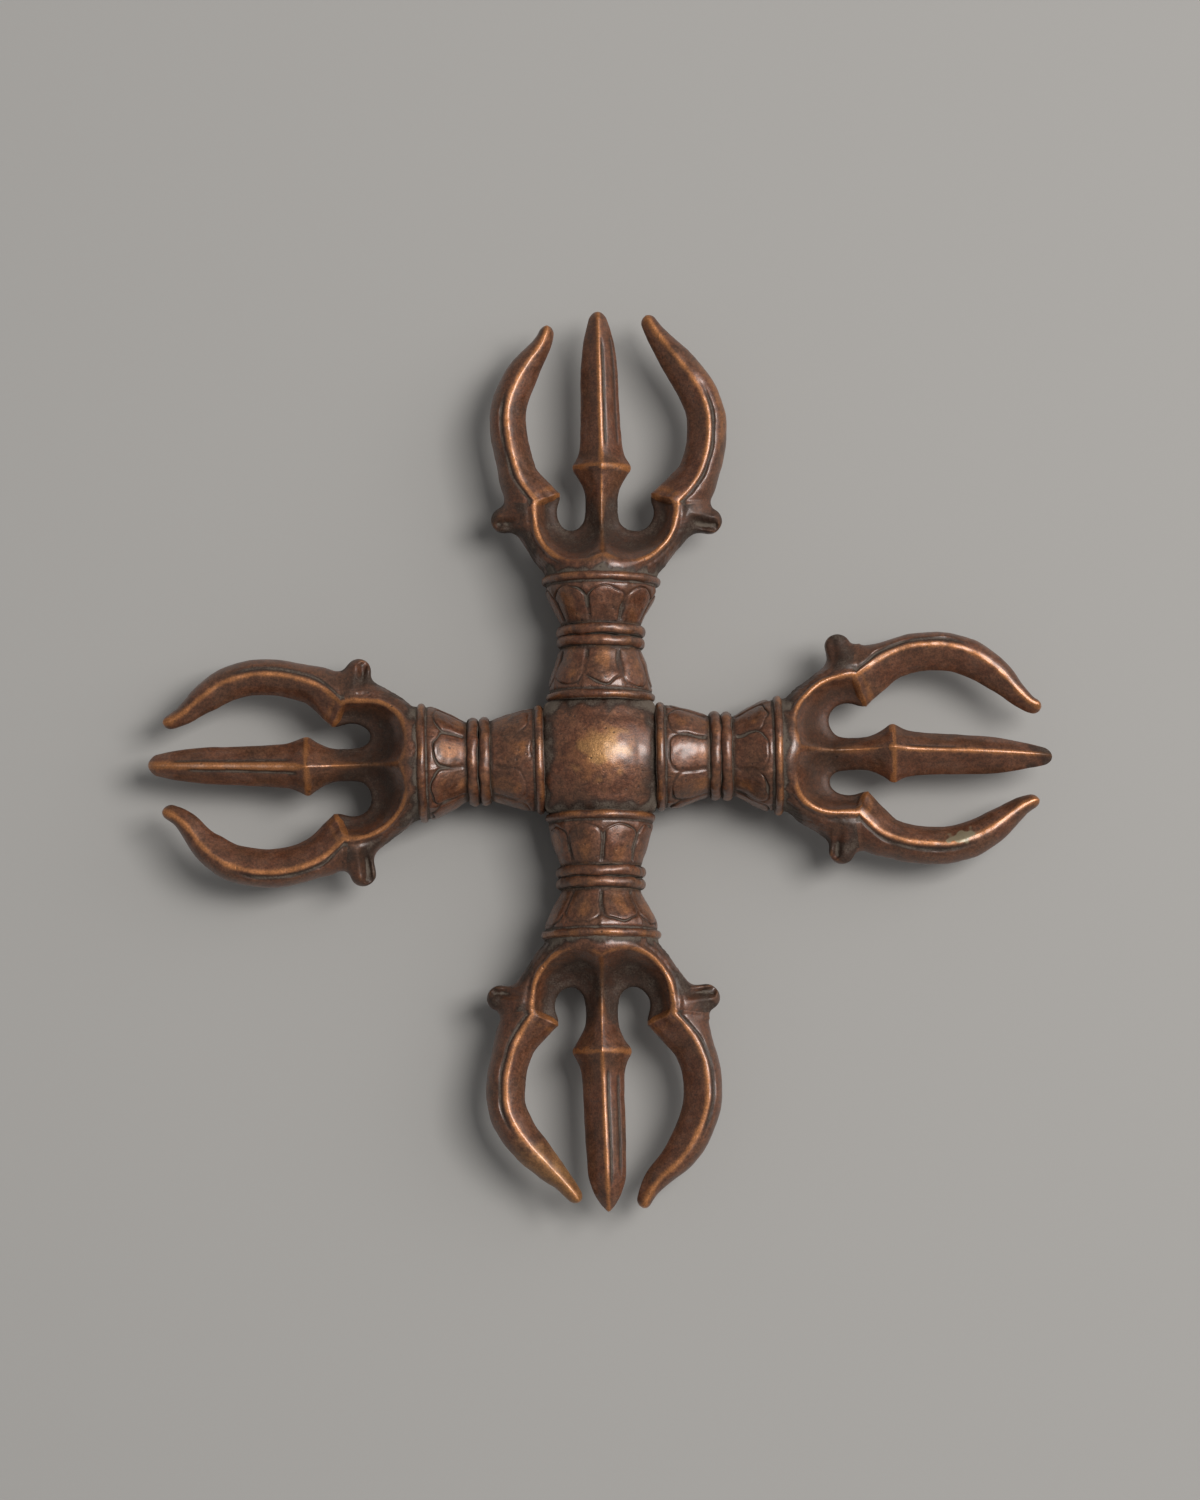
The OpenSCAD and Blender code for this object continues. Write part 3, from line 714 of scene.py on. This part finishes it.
def cast_skin(field, low, cell):
    """Skin of the solid where a sampled field is below 0: a point in each cell that the skin crosses, at the
    mean of the crossings on the cell's edges, and a four-sided face round each crossed edge."""
    cells = np.array(field.shape) - 1
    corner, spot, faces = [], [], []
    for axis in range(3):
        first = np.take(field, np.arange(cells[axis]), axis)
        second = np.take(field, np.arange(1, cells[axis] + 1), axis)
        at = np.argwhere((first < 0) != (second < 0))
        begin, finish = first[tuple(at.T)], second[tuple(at.T)]
        place = at.astype(float)
        place[:, axis] += begin / (begin - finish)
        u, v = np.eye(3, dtype=int)[[(axis + 1) % 3, (axis + 2) % 3]]
        around = [np.ravel_multi_index((at - shift).T, cells) for shift in (u + v, v, 0 * u, u)]
        corner += around
        spot += [place] * 4
        ring = np.stack(around, 1)
        faces.append(np.where((begin < 0)[:, None], ring, ring[:, ::-1]))
    corner, spot = np.concatenate(corner), np.concatenate(spot)
    used, corner = np.unique(corner, return_inverse=True)
    count = np.bincount(corner)
    points = np.stack([np.bincount(corner, spot[:, axis]) / count for axis in range(3)], 1)
    return points * cell + low, np.searchsorted(used, np.concatenate(faces))


def drawn_to_skin(points, arm):
    """Points moved on to the yoke's skin: each steps by the field's value along its slope, three times."""
    nudge = 0.02
    longest = 0.15
    for _ in range(3):
        rises = [yoke_field(points + d, arm) - yoke_field(points - d, arm) for d in nudge * np.eye(3)]
        slope = np.stack(rises, 1) / (2 * nudge)
        step = yoke_field(points, arm) / np.maximum((slope * slope).sum(1), 0.2)
        points = points - np.clip(step, -longest, longest)[:, None] * slope
    return points


def twisted(points, arm):
    """A head's slight twist about its arm: the side shift is a share of the height, growing over the yoke."""
    shift = head_twist[arm] * points[:, 2] * ease(points[:, 0], 31.0, 43.0)
    return points + np.stack([0 * shift, shift, 0 * shift], 1)


lattice_count = np.ceil((yoke_high - yoke_low) / yoke_cell).astype(int) + 1
lattice_lines = [yoke_low[k] + yoke_cell * np.arange(lattice_count[k]) for k in range(3)]
lattice = np.stack(np.meshgrid(*lattice_lines, indexing="ij"), -1)
for number, (arm, turn) in enumerate(arm_turns.items()):
    seed = 300 + 10 * number
    points, faces = cast_skin(yoke_field(lattice, arm), yoke_low, yoke_cell)
    points = drawn_to_skin(points, arm)
    from_end = end_line(points[:, 1], arm) - points[:, 0]
    cut = (from_end < on_cut) | (points[:, 0] < yoke_seat + on_cut)
    skin_faces = faces[~cut[faces].all(1)]
    parts = np.stack(yoke_parts(points, arm))
    bell = parts[0]
    ridge_gap = np.sort(np.abs(parts), 0)[1]
    outside = ease(bell, -0.3, -0.05) * ease(ridge_gap, 0.6, 1.6)
    crust = 0.024 * cast_lumps(points, 0.9, seed + 4) * outside * ease(from_end, 0.4, 2.0)
    crust = crust * ease(-np.abs(points[:, 1]), -14.5, -12.5)
    lumps = uneven_cast(points, yoke_lumps, seed) + crust
    points = lifted(points, skin_faces, lumps * ~cut)
    rub, painted_shade_and_grime = wear_dirt_and_shade(points, skin_faces)
    x = points[:, 0]
    ridge = line_mark(ridge_gap, 0.65) * ease(x, 31.0, 33.0)
    crest = 0.6 * line_mark(from_end, 0.5) * ease(-bell, 0.3, 1.5)
    crusted = 0.28 + 0.34 * ease(cast_lumps(points, 5.0, seed + 2), -0.8, 1.0)
    seat_crease_reach = np.maximum(1.0 + 0.5 * cast_lumps(points, 2.5, seed + 3), 0.3)
    # A band at the seat: dirt packed in the crease, darkened also as painted shade.
    seat_dirt_and_shade = line_mark(x - yoke_seat, seat_crease_reach)
    in_bay = ease(-bell, 0.8, 4.5) * ease(-x, -47.5, -42.0)
    # Rub: wear on ridges and crests; at its highest, the pale copper is also a painted highlight. Grime:
    # hollows, bays and the seat crease darkened as painted shade, with dust and packed dirt; a crust of dirt
    # outside.
    marks = {
        "rub": 0.6 * rub + 0.62 * np.maximum(ridge, crest),
        "painted_shade_and_grime": 0.8 * painted_shade_and_grime + bay_shade_and_dust[arm] * in_bay + crusted * outside + 0.6 * seat_dirt_and_shade,
    }
    placed = on_arm(twisted(points, arm), turn)
    piece = bronze_piece("trident_yoke_" + arm, placed, faces, marks, cast_bronze)
    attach(piece, "root")
    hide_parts("yoke_" + arm)

# Centre blades: one straight bronze blade in each head, four-sided, on a tenon in the collar. Its faces
# carry chased lines beside the ridge, and its edges and point are worn round.

blade_bronze = bronze_finish("blade bronze", {"Pitting": 0.6}, 0.22, 0.00018)
centre_rows = 210
centre_lumps = ((0.04, 10.0), (0.012, 2.5))
centre_flatness = 0.88
centre_tip = 74.9
centre_tip_round = 1.4
centre_drift = by_arm(-1.0, 0.8, -0.9, 0.9)
centre_along = (48.6, 49.1, 49.7, 50.4, 51.5, 54.0, 60.0, 66.0, 70.0, 72.5, 74.0, 74.9)
centre_wide = by_arm(
    (4.85, 4.72, 4.4, 4.05, 3.75, 3.5, 3.3, 2.95, 2.25, 1.75, 1.4, 1.2),
    (4.85, 4.7, 4.3, 3.95, 3.6, 3.4, 3.2, 2.95, 2.5, 1.85, 1.4, 1.1),
    (4.85, 4.75, 4.5, 4.2, 3.8, 3.55, 3.2, 3.0, 2.5, 2.0, 1.6, 1.2),
    (4.85, 4.72, 4.4, 4.05, 3.7, 3.5, 3.4, 3.25, 2.95, 2.0, 1.1, 0.5),
)
# Each chased line: side of the ridge, share of the half width, start and stop along, depth.
chased_lines = by_arm(
    ((1, 0.16, 0.05, 0.45, 0.12), (-1, 0.5, 0.1, 0.6, 0.06)),
    ((-1, 0.22, 0.1, 0.85, 0.2), (-1, 0.78, 0.1, 0.9, 0.14)),
    ((1, 0.28, 0.03, 0.8, 0.2), (-1, 0.28, 0.06, 0.9, 0.16)),
    ((1, 0.24, 0.08, 0.88, 0.2), (1, 0.7, 0.1, 0.8, 0.18)),
)
# Each row that laps the yoke: how far back from the blade's foot, and how far proud of the yoke's skin.
lap_rows = ((1.2, -0.06), (0.6, 0.012), (0.3, 0.012), (0.0, 0.006))
# Columns round a blade, closer together at its edges: share of the half width, and front 1 or back -1.
blade_columns = 120
blade_around = np.linspace(0, 2 * np.pi, blade_columns, endpoint=False)
blade_across = np.cos(blade_around + 0.3 * np.sin(2 * blade_around))
blade_face = np.where(np.sin(blade_around) >= 0, 1, -1)


def faired(value, stations, heights, over):
    """A cubic through stations, averaged over a length, so that no station shows as a corner."""
    return np.mean([through(value + shift, stations, heights) for shift in np.linspace(-over, over, 9)], 0)


def half_section(share, full, crown, edge):
    """Height over a blade's half width, from 1 on the ridge to 0 on the edge: one less a power of the share
    of the way out, and a power of that. The ridge itself is rounded over a share of the width, crown."""
    s = np.sqrt(share * share + crown * crown) - crown
    return np.clip(1 - (s / (np.sqrt(1 + crown * crown) - crown)) ** full, 0, 1) ** edge


def rounded_point(along, end, length, share):
    """What is left of the width towards a blade's end: a quarter oval over a length, stopping short of 0."""
    return np.sqrt(np.clip(1 - share * np.clip((along - end + length) / length, 0, 1) ** 2, 0, 1))


def cut_to(measure, low, high):
    """Where a value that rises through 0 crosses it, between low and high: halved 40 times."""
    for _ in range(40):
        middle = 0.5 * (low + high)
        inside = measure(middle) < 0
        low, high = np.where(inside, middle, low), np.where(inside, high, middle)
    return 0.5 * (low + high)


def collar_row(arm, back, proud):
    """A row of the centre blade that lies on the stem's own skin, back from the collar's crest, or sunk below
    it: its half width and its heights are where the yoke's depth crosses 0."""

    def yoke_depth(y, z):
        """Depth outside the yoke, in this row, at a place to the side and a height."""
        return yoke_body(np.stack([0 * y + collar_along - back, y, z], 1), arm)

    none = np.zeros(1)
    wide = cut_to(lambda y: yoke_depth(y, none), none, none + 7)[0]
    high = cut_to(lambda z: yoke_depth(wide * blade_across, z), 0 * blade_across, 0 * blade_across + 7)
    return np.stack([0 * blade_across + collar_along - back, blade_across * (wide + proud), high + proud], 1)


def centre_shift(x, arm):
    """How far a centre blade drifts sideways: in proportion to the way from the collar to the point."""
    return centre_drift[arm] * (x - collar_along) / (centre_tip - collar_along)


def centre_surface(arm):
    """Diamond section carried straight out: half width by station, height a share of it, the point rounded
    off, and each chased line a stroke beside the ridge, fading at both ends. The first rows lap the collar.
    Also the darkening in the chased lines, painted shade with dirt."""
    laps = np.stack([collar_row(arm, back, proud) for back, proud in lap_rows])
    share = np.linspace(0, 1, centre_rows)[1:]
    share = 0.85 * share + 0.15 * np.sin(share * np.pi / 2)
    x = collar_along + (centre_tip - collar_along) * share
    wide = faired(x, centre_along, centre_wide[arm], 0.5)
    wide = wide + (laps[-1, 0, 1] - wide[0]) * ease(-x, -collar_along - 1.2, -collar_along)
    wide = wide * rounded_point(x, centre_tip, centre_tip_round, 0.985)
    taken = ease(x, collar_along, collar_along + 2.5)[:, None]
    collar_section = laps[-1, :, 2] / laps[-1, 0, 1]
    blade_section = centre_flatness * half_section(blade_across, 1.12, 0.1, 0.86)
    z = wide[:, None] * (collar_section * (1 - taken) + blade_section * taken)
    cuts = 0 * z
    for way, at, start, stop, depth in chased_lines[arm]:
        from_line = (way * blade_across - at) * wide[:, None]
        length = (ease(share, start, start + 0.08) * ease(-share, -stop, 0.1 - stop))[:, None]
        z = z - depth * length * line_mark(from_line, 0.22)
        cuts = cuts + 4 * depth * length * line_mark(from_line, 0.3)
    blade = np.stack([np.repeat(x[:, None], blade_columns, 1), blade_across * wide[:, None], z], -1)
    grid = np.concatenate([laps, blade])
    grid[..., 1] += centre_shift(np.maximum(grid[..., 0], collar_along), arm)
    grid[..., 2] *= blade_face
    return grid, np.r_[np.zeros(len(laps) * blade_columns), cuts.ravel(), 0, 0]


for number, (arm, turn) in enumerate(arm_turns.items()):
    seed = 400 + 10 * number
    grid, cuts = centre_surface(arm)
    points, faces = grid_skin(grid)
    walls = faces[faces[:, 2] != faces[:, 3]]
    lumps = uneven_cast(points, centre_lumps, seed) * ease(points[:, 0], collar_along, collar_along + 1.0)
    points = lifted(points, faces, lumps)
    points[:, 0] = np.minimum(points[:, 0], centre_tip)
    rub, painted_shade_and_grime = wear_dirt_and_shade(points, walls)
    x = points[:, 0]
    from_ridge = points[:, 1] - centre_shift(x, arm)
    ridge = line_mark(from_ridge, 0.55)
    crest = line_mark(x - collar_along, 0.55)
    marks = {
        "rub": 0.6 * rub + 0.6 * np.maximum(ridge, crest),
        # Darkening in hollows, chased lines and the band behind the collar: painted shade, with dirt. Dirt
        # near the east blade's point. Ridge rub at its highest also paints a highlight.
        "painted_shade_and_grime": painted_shade_and_grime + cuts + 0.25 * line_mark(x - 50.6, 1.0) * (1 - ridge),
    }
    if arm == "west":
        marks["rub"] += 0.4 * line_mark(from_ridge, 1.1) * ease(x, 49.0, 51.0)
    if arm == "east":
        marks["painted_shade_and_grime"] += 0.6 * ease(x + cast_lumps(points, 3.0, 78), 70.5, 73.5)
    placed = on_arm(twisted(points, arm), turn)
    piece = bronze_piece("straight_blade_" + arm, placed, faces, marks, blade_bronze)
    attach(piece, "root")
    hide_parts("centre_blade_" + arm)

# Side blades: two bowed bronze blades in each head, on tenons in the yoke's arms. A ridge runs from the
# spur to the point, with a flat face inside it, a round one outside and a chased groove beside it.

side_rows = 210
side_seat = 43.4
side_tip_round = 1.2
side_groove_depth = 0.3
lap_half = 5
ridge_along = (46.0, 50.0, 54.0, 58.0, 62.0, 66.0, 70.0, 71.5)
ridge_across = by_arm(
    ((14.6, 16.5, 17.2, 17.1, 15.85, 13.15, 9.1, 7.75),
     (13.6, 15.25, 15.8, 15.75, 14.55, 12.15, 9.15, 8.5)),
    ((13.35, 14.7, 15.6, 15.7, 14.55, 12.4, 9.75, 9.3),
     (15.5, 17.15, 17.8, 17.55, 15.95, 13.15, 9.95, 8.8)),
    ((15.0, 16.7, 17.35, 17.05, 15.9, 12.85, 8.0, 7.15),
     (13.3, 14.8, 15.55, 15.45, 14.35, 11.75, 8.7, 8.05)),
    ((14.8, 16.7, 17.35, 17.05, 15.65, 13.2, 9.0, 7.8),
     (13.6, 15.1, 15.8, 15.55, 13.6, 10.25, 6.45, 5.1)),
)
side_tip = by_arm(
    ((73.3, 7.3), (72.6, 8.2)),
    ((72.5, 9.25), (74.3, 7.2)),
    ((72.7, 6.8), (72.3, 7.9)),
    ((74.3, 6.6), (73.3, 3.8)),
)
outer_share = by_arm((0.435, 0.435), (0.485, 0.455), (0.41, 0.41), (0.38, 0.52))
width_scale = by_arm((1.0, 0.97), (0.95, 1.03), (1.0, 0.94), (1.0, 1.0))
groove_gap = by_arm((1.0, 0.95), (1.0, 0.75), (0.9, 0.9), (0.9, 1.0))
width_share = (0.0, 0.22, 0.355, 0.49, 0.62, 0.755, 0.82, 0.89, 0.955, 1.0)
blade_width = (6.8, 6.45, 6.4, 6.3, 6.1, 5.3, 4.4, 3.4, 2.6, 2.1)
blade_rise = (3.5, 3.35, 3.25, 3.1, 2.9, 2.5, 2.1, 1.65, 1.35, 1.1)


def length_along(line):
    """Length from a line's first point to each of its points: the sum of the steps between."""
    return np.r_[0, np.cumsum(np.linalg.norm(np.diff(line, axis=0), axis=1))]


def ridge_line(arm, which):
    """Plan of a bowed blade's ridge: a cubic through its stations by length, smoothed by averaging each point
    with its neighbours round after round, and spaced evenly by length."""
    start = (seam_along, seam_ridge + blade_lean[arm][which])
    knots = np.array([start, *zip(ridge_along, ridge_across[arm][which]), side_tip[arm][which]])
    length = length_along(knots)
    even = np.linspace(0, length[-1], 600)
    line = np.stack([through(even, length, knots[:, k]) for k in range(2)], 1)
    for _ in range(300):
        line[1:-1] = 0.25 * line[:-2] + 0.5 * line[1:-1] + 0.25 * line[2:]
    length = length_along(line)
    even = np.linspace(0, length[-1], side_rows)
    return np.stack([np.interp(even, length, line[:, k]) for k in range(2)], 1)


def seam_row(arm, which, back, proud):
    """Plan and height of a row of the blade that lies on the yoke's own skin, along the seam or back from it,
    or sunk below the skin: where the yoke's depth crosses 0. Also the row's headings, and its reach to the
    spur."""
    way = side_ways[which]
    start = np.array([seam_along - back, seam_ridge + blade_lean[arm][which]])
    to_spur = np.array([spur_along - seam_along, spur_tip[arm][which] - start[1]])
    spur_far = np.linalg.norm(to_spur)
    to_spur = to_spur / spur_far
    to_shoulder = np.array([seam_slope, 1.0]) / np.hypot(seam_slope, 1.0)

    def yoke_depth(begin, heading, reach, height):
        """Depth outside the yoke at a reach from a start along a heading, and a height."""
        plan = begin + heading * reach[:, None]
        return yoke_body(np.stack([plan[:, 0], way * plan[:, 1], height], 1), arm)

    none = np.zeros(1)
    seam_start = start + [back, 0]
    farthest = none + spur_far + 1.2
    spur_reach = cut_to(lambda reach: yoke_depth(start, to_spur, reach, none), none, farthest)[0]
    shoulder_reach = min(
        cut_to(lambda reach: yoke_depth(begin, to_shoulder, reach, none), none, none + 6.5)[0]
        for begin in (start, seam_start)
    )
    heading = np.where(blade_across[:, None] > 0, to_shoulder, to_spur)
    reach = np.where(blade_across > 0, shoulder_reach, spur_reach) * np.abs(blade_across)
    height = cut_to(lambda tall: yoke_depth(start, heading, reach, tall), 0 * reach, 0 * reach + 8)
    height = np.where(height > 0.02, np.maximum(height + proud, 0), 0)
    return start + heading * reach[:, None], height, heading, spur_reach


def side_surface(arm, which):
    """Two-faced section carried along the ridge line. Its first rows lap the yoke's skin at the seam; over
    the next few millimetres that becomes the blade's own section, and the point is rounded off. Also each
    point's distance from the ridge, outward above 0, and how far along the blade it is."""
    line = ridge_line(arm, which)
    ahead = np.gradient(line, axis=0)
    ahead /= np.linalg.norm(ahead, axis=1)[:, None]
    out = np.stack([-ahead[:, 1], ahead[:, 0]], 1)
    into = length_along(line)
    share = (line[:, 0] - side_seat) / (line[-1, 0] - side_seat)
    laps = [seam_row(arm, which, back, proud) for back, proud in lap_rows]
    heading, spur_reach = laps[-1][2:]
    width = faired(share, width_share, blade_width, 0.03) * width_scale[arm][which]
    point = rounded_point(into, into[-1], side_tip_round, 0.99)
    inner = (1 - outer_share[arm][which]) * width
    inner = (inner + (spur_reach - inner) * (1 - np.clip(into / 6.0, 0, 1) ** 0.8)) * point
    settled = ease(into, 0.0, 4.5)[:, None, None]
    heading = heading * (1 - settled) - out[:, None] * settled
    inside = line[:, None] + heading * (inner[:, None] * np.abs(blade_across))[..., None]
    outer = outer_share[arm][which] * width * point
    outside = line[:, None] + out[:, None] * (outer[:, None] * blade_across)[..., None]
    drawn = (1 - np.clip(into / 8.0, 0, 1)) ** 1.6
    outside = outside + (laps[-1][0] - outside[0]) * drawn[:, None, None]
    plan = np.where(blade_across[:, None] > 0, outside, inside)
    reach = np.linalg.norm(plan - line[:, None], axis=-1)
    rise = faired(share, width_share, blade_rise, 0.03) * np.sqrt(point)
    outer_face = half_section(np.abs(blade_across), 1.75, 0.16, 0.62)
    inner_face = half_section(np.abs(blade_across), 1.2, 0.11, 0.8)
    height = rise[:, None] * np.where(blade_across > 0, outer_face, inner_face)
    groove_seed = which + len(arm)
    wander = cast_lumps(np.stack([into, 0 * into, 0 * into], 1), 4.0, groove_seed)[:, None]
    gap = np.where(blade_across > 0, reach, -10) - groove_gap[arm][which] - 0.08 * wander
    length = (ease(share, -0.06, 0.02) * ease(-share, -0.66, -0.5))[:, None]
    height = height - length * (side_groove_depth + 0.06 * wander) * line_mark(gap, 0.34)
    taken = ease(into, 0.0, 4.0)[:, None]
    height = laps[-1][1] * (1 - taken) + height * taken
    plan = np.concatenate([[lap[0] for lap in laps[:-1]], plan])
    height = np.concatenate([[lap[1] for lap in laps[:-1]], height])
    lap_from_ridge = np.repeat(lap_half * blade_across[None], len(laps) - 1, 0)
    from_ridge = np.concatenate([lap_from_ridge, np.sign(blade_across) * reach])
    along = np.r_[np.zeros(len(laps) - 1), share][:, None] + 0 * from_ridge
    grid = np.stack([plan[..., 0], side_ways[which] * plan[..., 1], blade_face * height], -1)
    return grid, np.r_[from_ridge.ravel(), 0, 0], np.r_[along.ravel(), 0, 1]


# A side blade has the lumps and the seed of its yoke, so that they run on across the seam.
for number, (arm, turn) in enumerate(arm_turns.items()):
    for which, name in enumerate(("left", "right")):
        seed = 300 + 10 * number
        grid, from_ridge, along = side_surface(arm, which)
        points, faces = grid_skin(grid)
        walls = faces[faces[:, 2] != faces[:, 3]]
        points = lifted(points, walls, uneven_cast(points, yoke_lumps, seed))
        rub, painted_shade_and_grime = wear_dirt_and_shade(points, walls)
        ridge = line_mark(from_ridge, 0.6)
        groove = line_mark(from_ridge - groove_gap[arm][which], 0.42) * ease(-along, -0.66, -0.5)
        shoulder = ease(from_ridge, 0.8, 2.0) * ease(-along, -0.3, 0.0)
        crest = 0.6 * line_mark(along, 0.016) * (from_ridge < 0)
        marks = {
            "rub": 0.6 * rub + 0.6 * np.maximum(ridge, crest) + 0.16 * ease(along, 0.8, 1.0),
            # Darkening in hollows and the chased groove: painted shade, with dirt. Grey dirt on the outer
            # face near the root. Ridge rub at its highest also paints a highlight.
            "painted_shade_and_grime": painted_shade_and_grime + 0.75 * groove + 0.25 * shoulder,
        }
        if (arm, name) == ("south", "right"):
            marks["brass"] = 0.55 * ease(points[:, 0], 58.0, 68.0)
        if (arm, name) == ("north", "right"):
            marks["rub"] += 0.4 * ease(from_ridge, 1.2, 2.2) * line_mark(along - 0.5, 0.3)
        if (arm, name) == ("east", "right"):
            stain_along = points[:, 0] - 59.5
            beside = -points[:, 1] - 14.6 + 0.25 * stain_along
            spot = np.hypot(stain_along / 2.6, beside / 1.2) + 0.25 * cast_lumps(points, 1.5, 77)
            marks["pale"] = 1.1 * line_mark(spot, 1.0) * (points[:, 2] > 0)
        placed = on_arm(twisted(points, arm), turn)
        piece = bronze_piece("bowed_%s_blade_%s" % (name, arm), placed, faces, marks, blade_bronze)
        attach(piece, "root")
        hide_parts("%s_blade_%s" % (name, arm))

# Floor, studio light and camera: a plain grey sheet, two soft lamps up on the right, a pale surround, and
# a long lens almost straight above.

floor_half = 3.0
floor_corners = [(x * floor_half, y * floor_half, 0) for x, y in ((-1, -1), (1, -1), (1, 1), (-1, 1))]
floor_mesh = bpy.data.meshes.new("grey_sheet")
floor_mesh.from_pydata(floor_corners, [], [(0, 1, 2, 3)])
floor = bpy.data.objects.new("grey_sheet", floor_mesh)
scene.collection.objects.link(floor)
paper = bpy.data.materials.new("grey paper")
paper.use_nodes = True
paper_sockets = paper.node_tree.nodes["Principled BSDF"].inputs
paper_sockets["Base Color"].default_value = (0.38, 0.366, 0.347, 1)
paper_sockets["Roughness"].default_value = 0.9
paper_sockets["Specular IOR Level"].default_value = 0.1
floor_mesh.materials.append(paper)

surround = bpy.data.worlds.new("studio")
surround.use_nodes = True
sky_sockets = surround.node_tree.nodes["Background"].inputs
sky_sockets["Color"].default_value = (0.96, 0.98, 1.0, 1)
sky_sockets["Strength"].default_value = 0.235
scene.world = surround


def soft_lamp(name, place, size, watts, colour):
    """Oblong lamp that faces the middle of the object."""
    lamp = bpy.data.lights.new(name, "AREA")
    lamp.shape = "RECTANGLE"
    lamp.size, lamp.size_y = size
    lamp.energy = watts
    lamp.color = colour
    stand = bpy.data.objects.new(name, lamp)
    stand.location = place
    stand.rotation_mode = "QUATERNION"
    stand.rotation_quaternion = stand.location.to_track_quat("Z", "Y")
    scene.collection.objects.link(stand)


soft_lamp("key lamp", (0.63, 0.2, 1.26), (0.5, 0.75), 15.2, (1.0, 0.99, 0.98))
soft_lamp("side lamp", (2.4, 0.8, 1.9), (2.6, 2.6), 30.0, (0.98, 0.99, 1.0))

view_tilt = np.radians(5.7)
view_roll = np.radians(-0.7)
view_distance = 0.95
pixels_per_metre = 6035
picture_height = 1500
sensor = 36
aim = np.array([0.0, 1.38, arm_height]) * millimetre
camera = bpy.data.objects.new("camera", bpy.data.cameras.new("camera"))
camera.data.sensor_width = sensor
camera.data.lens = sensor * view_distance / (picture_height / pixels_per_metre)
camera.data.clip_start = 0.01
camera.location = aim + view_distance * np.array([0, -np.sin(view_tilt), np.cos(view_tilt)])
camera.rotation_mode = "ZYX"
camera.rotation_euler = (view_tilt, 0, view_roll)
scene.collection.objects.link(camera)
scene.camera = camera
scene.view_settings.view_transform = "Standard"
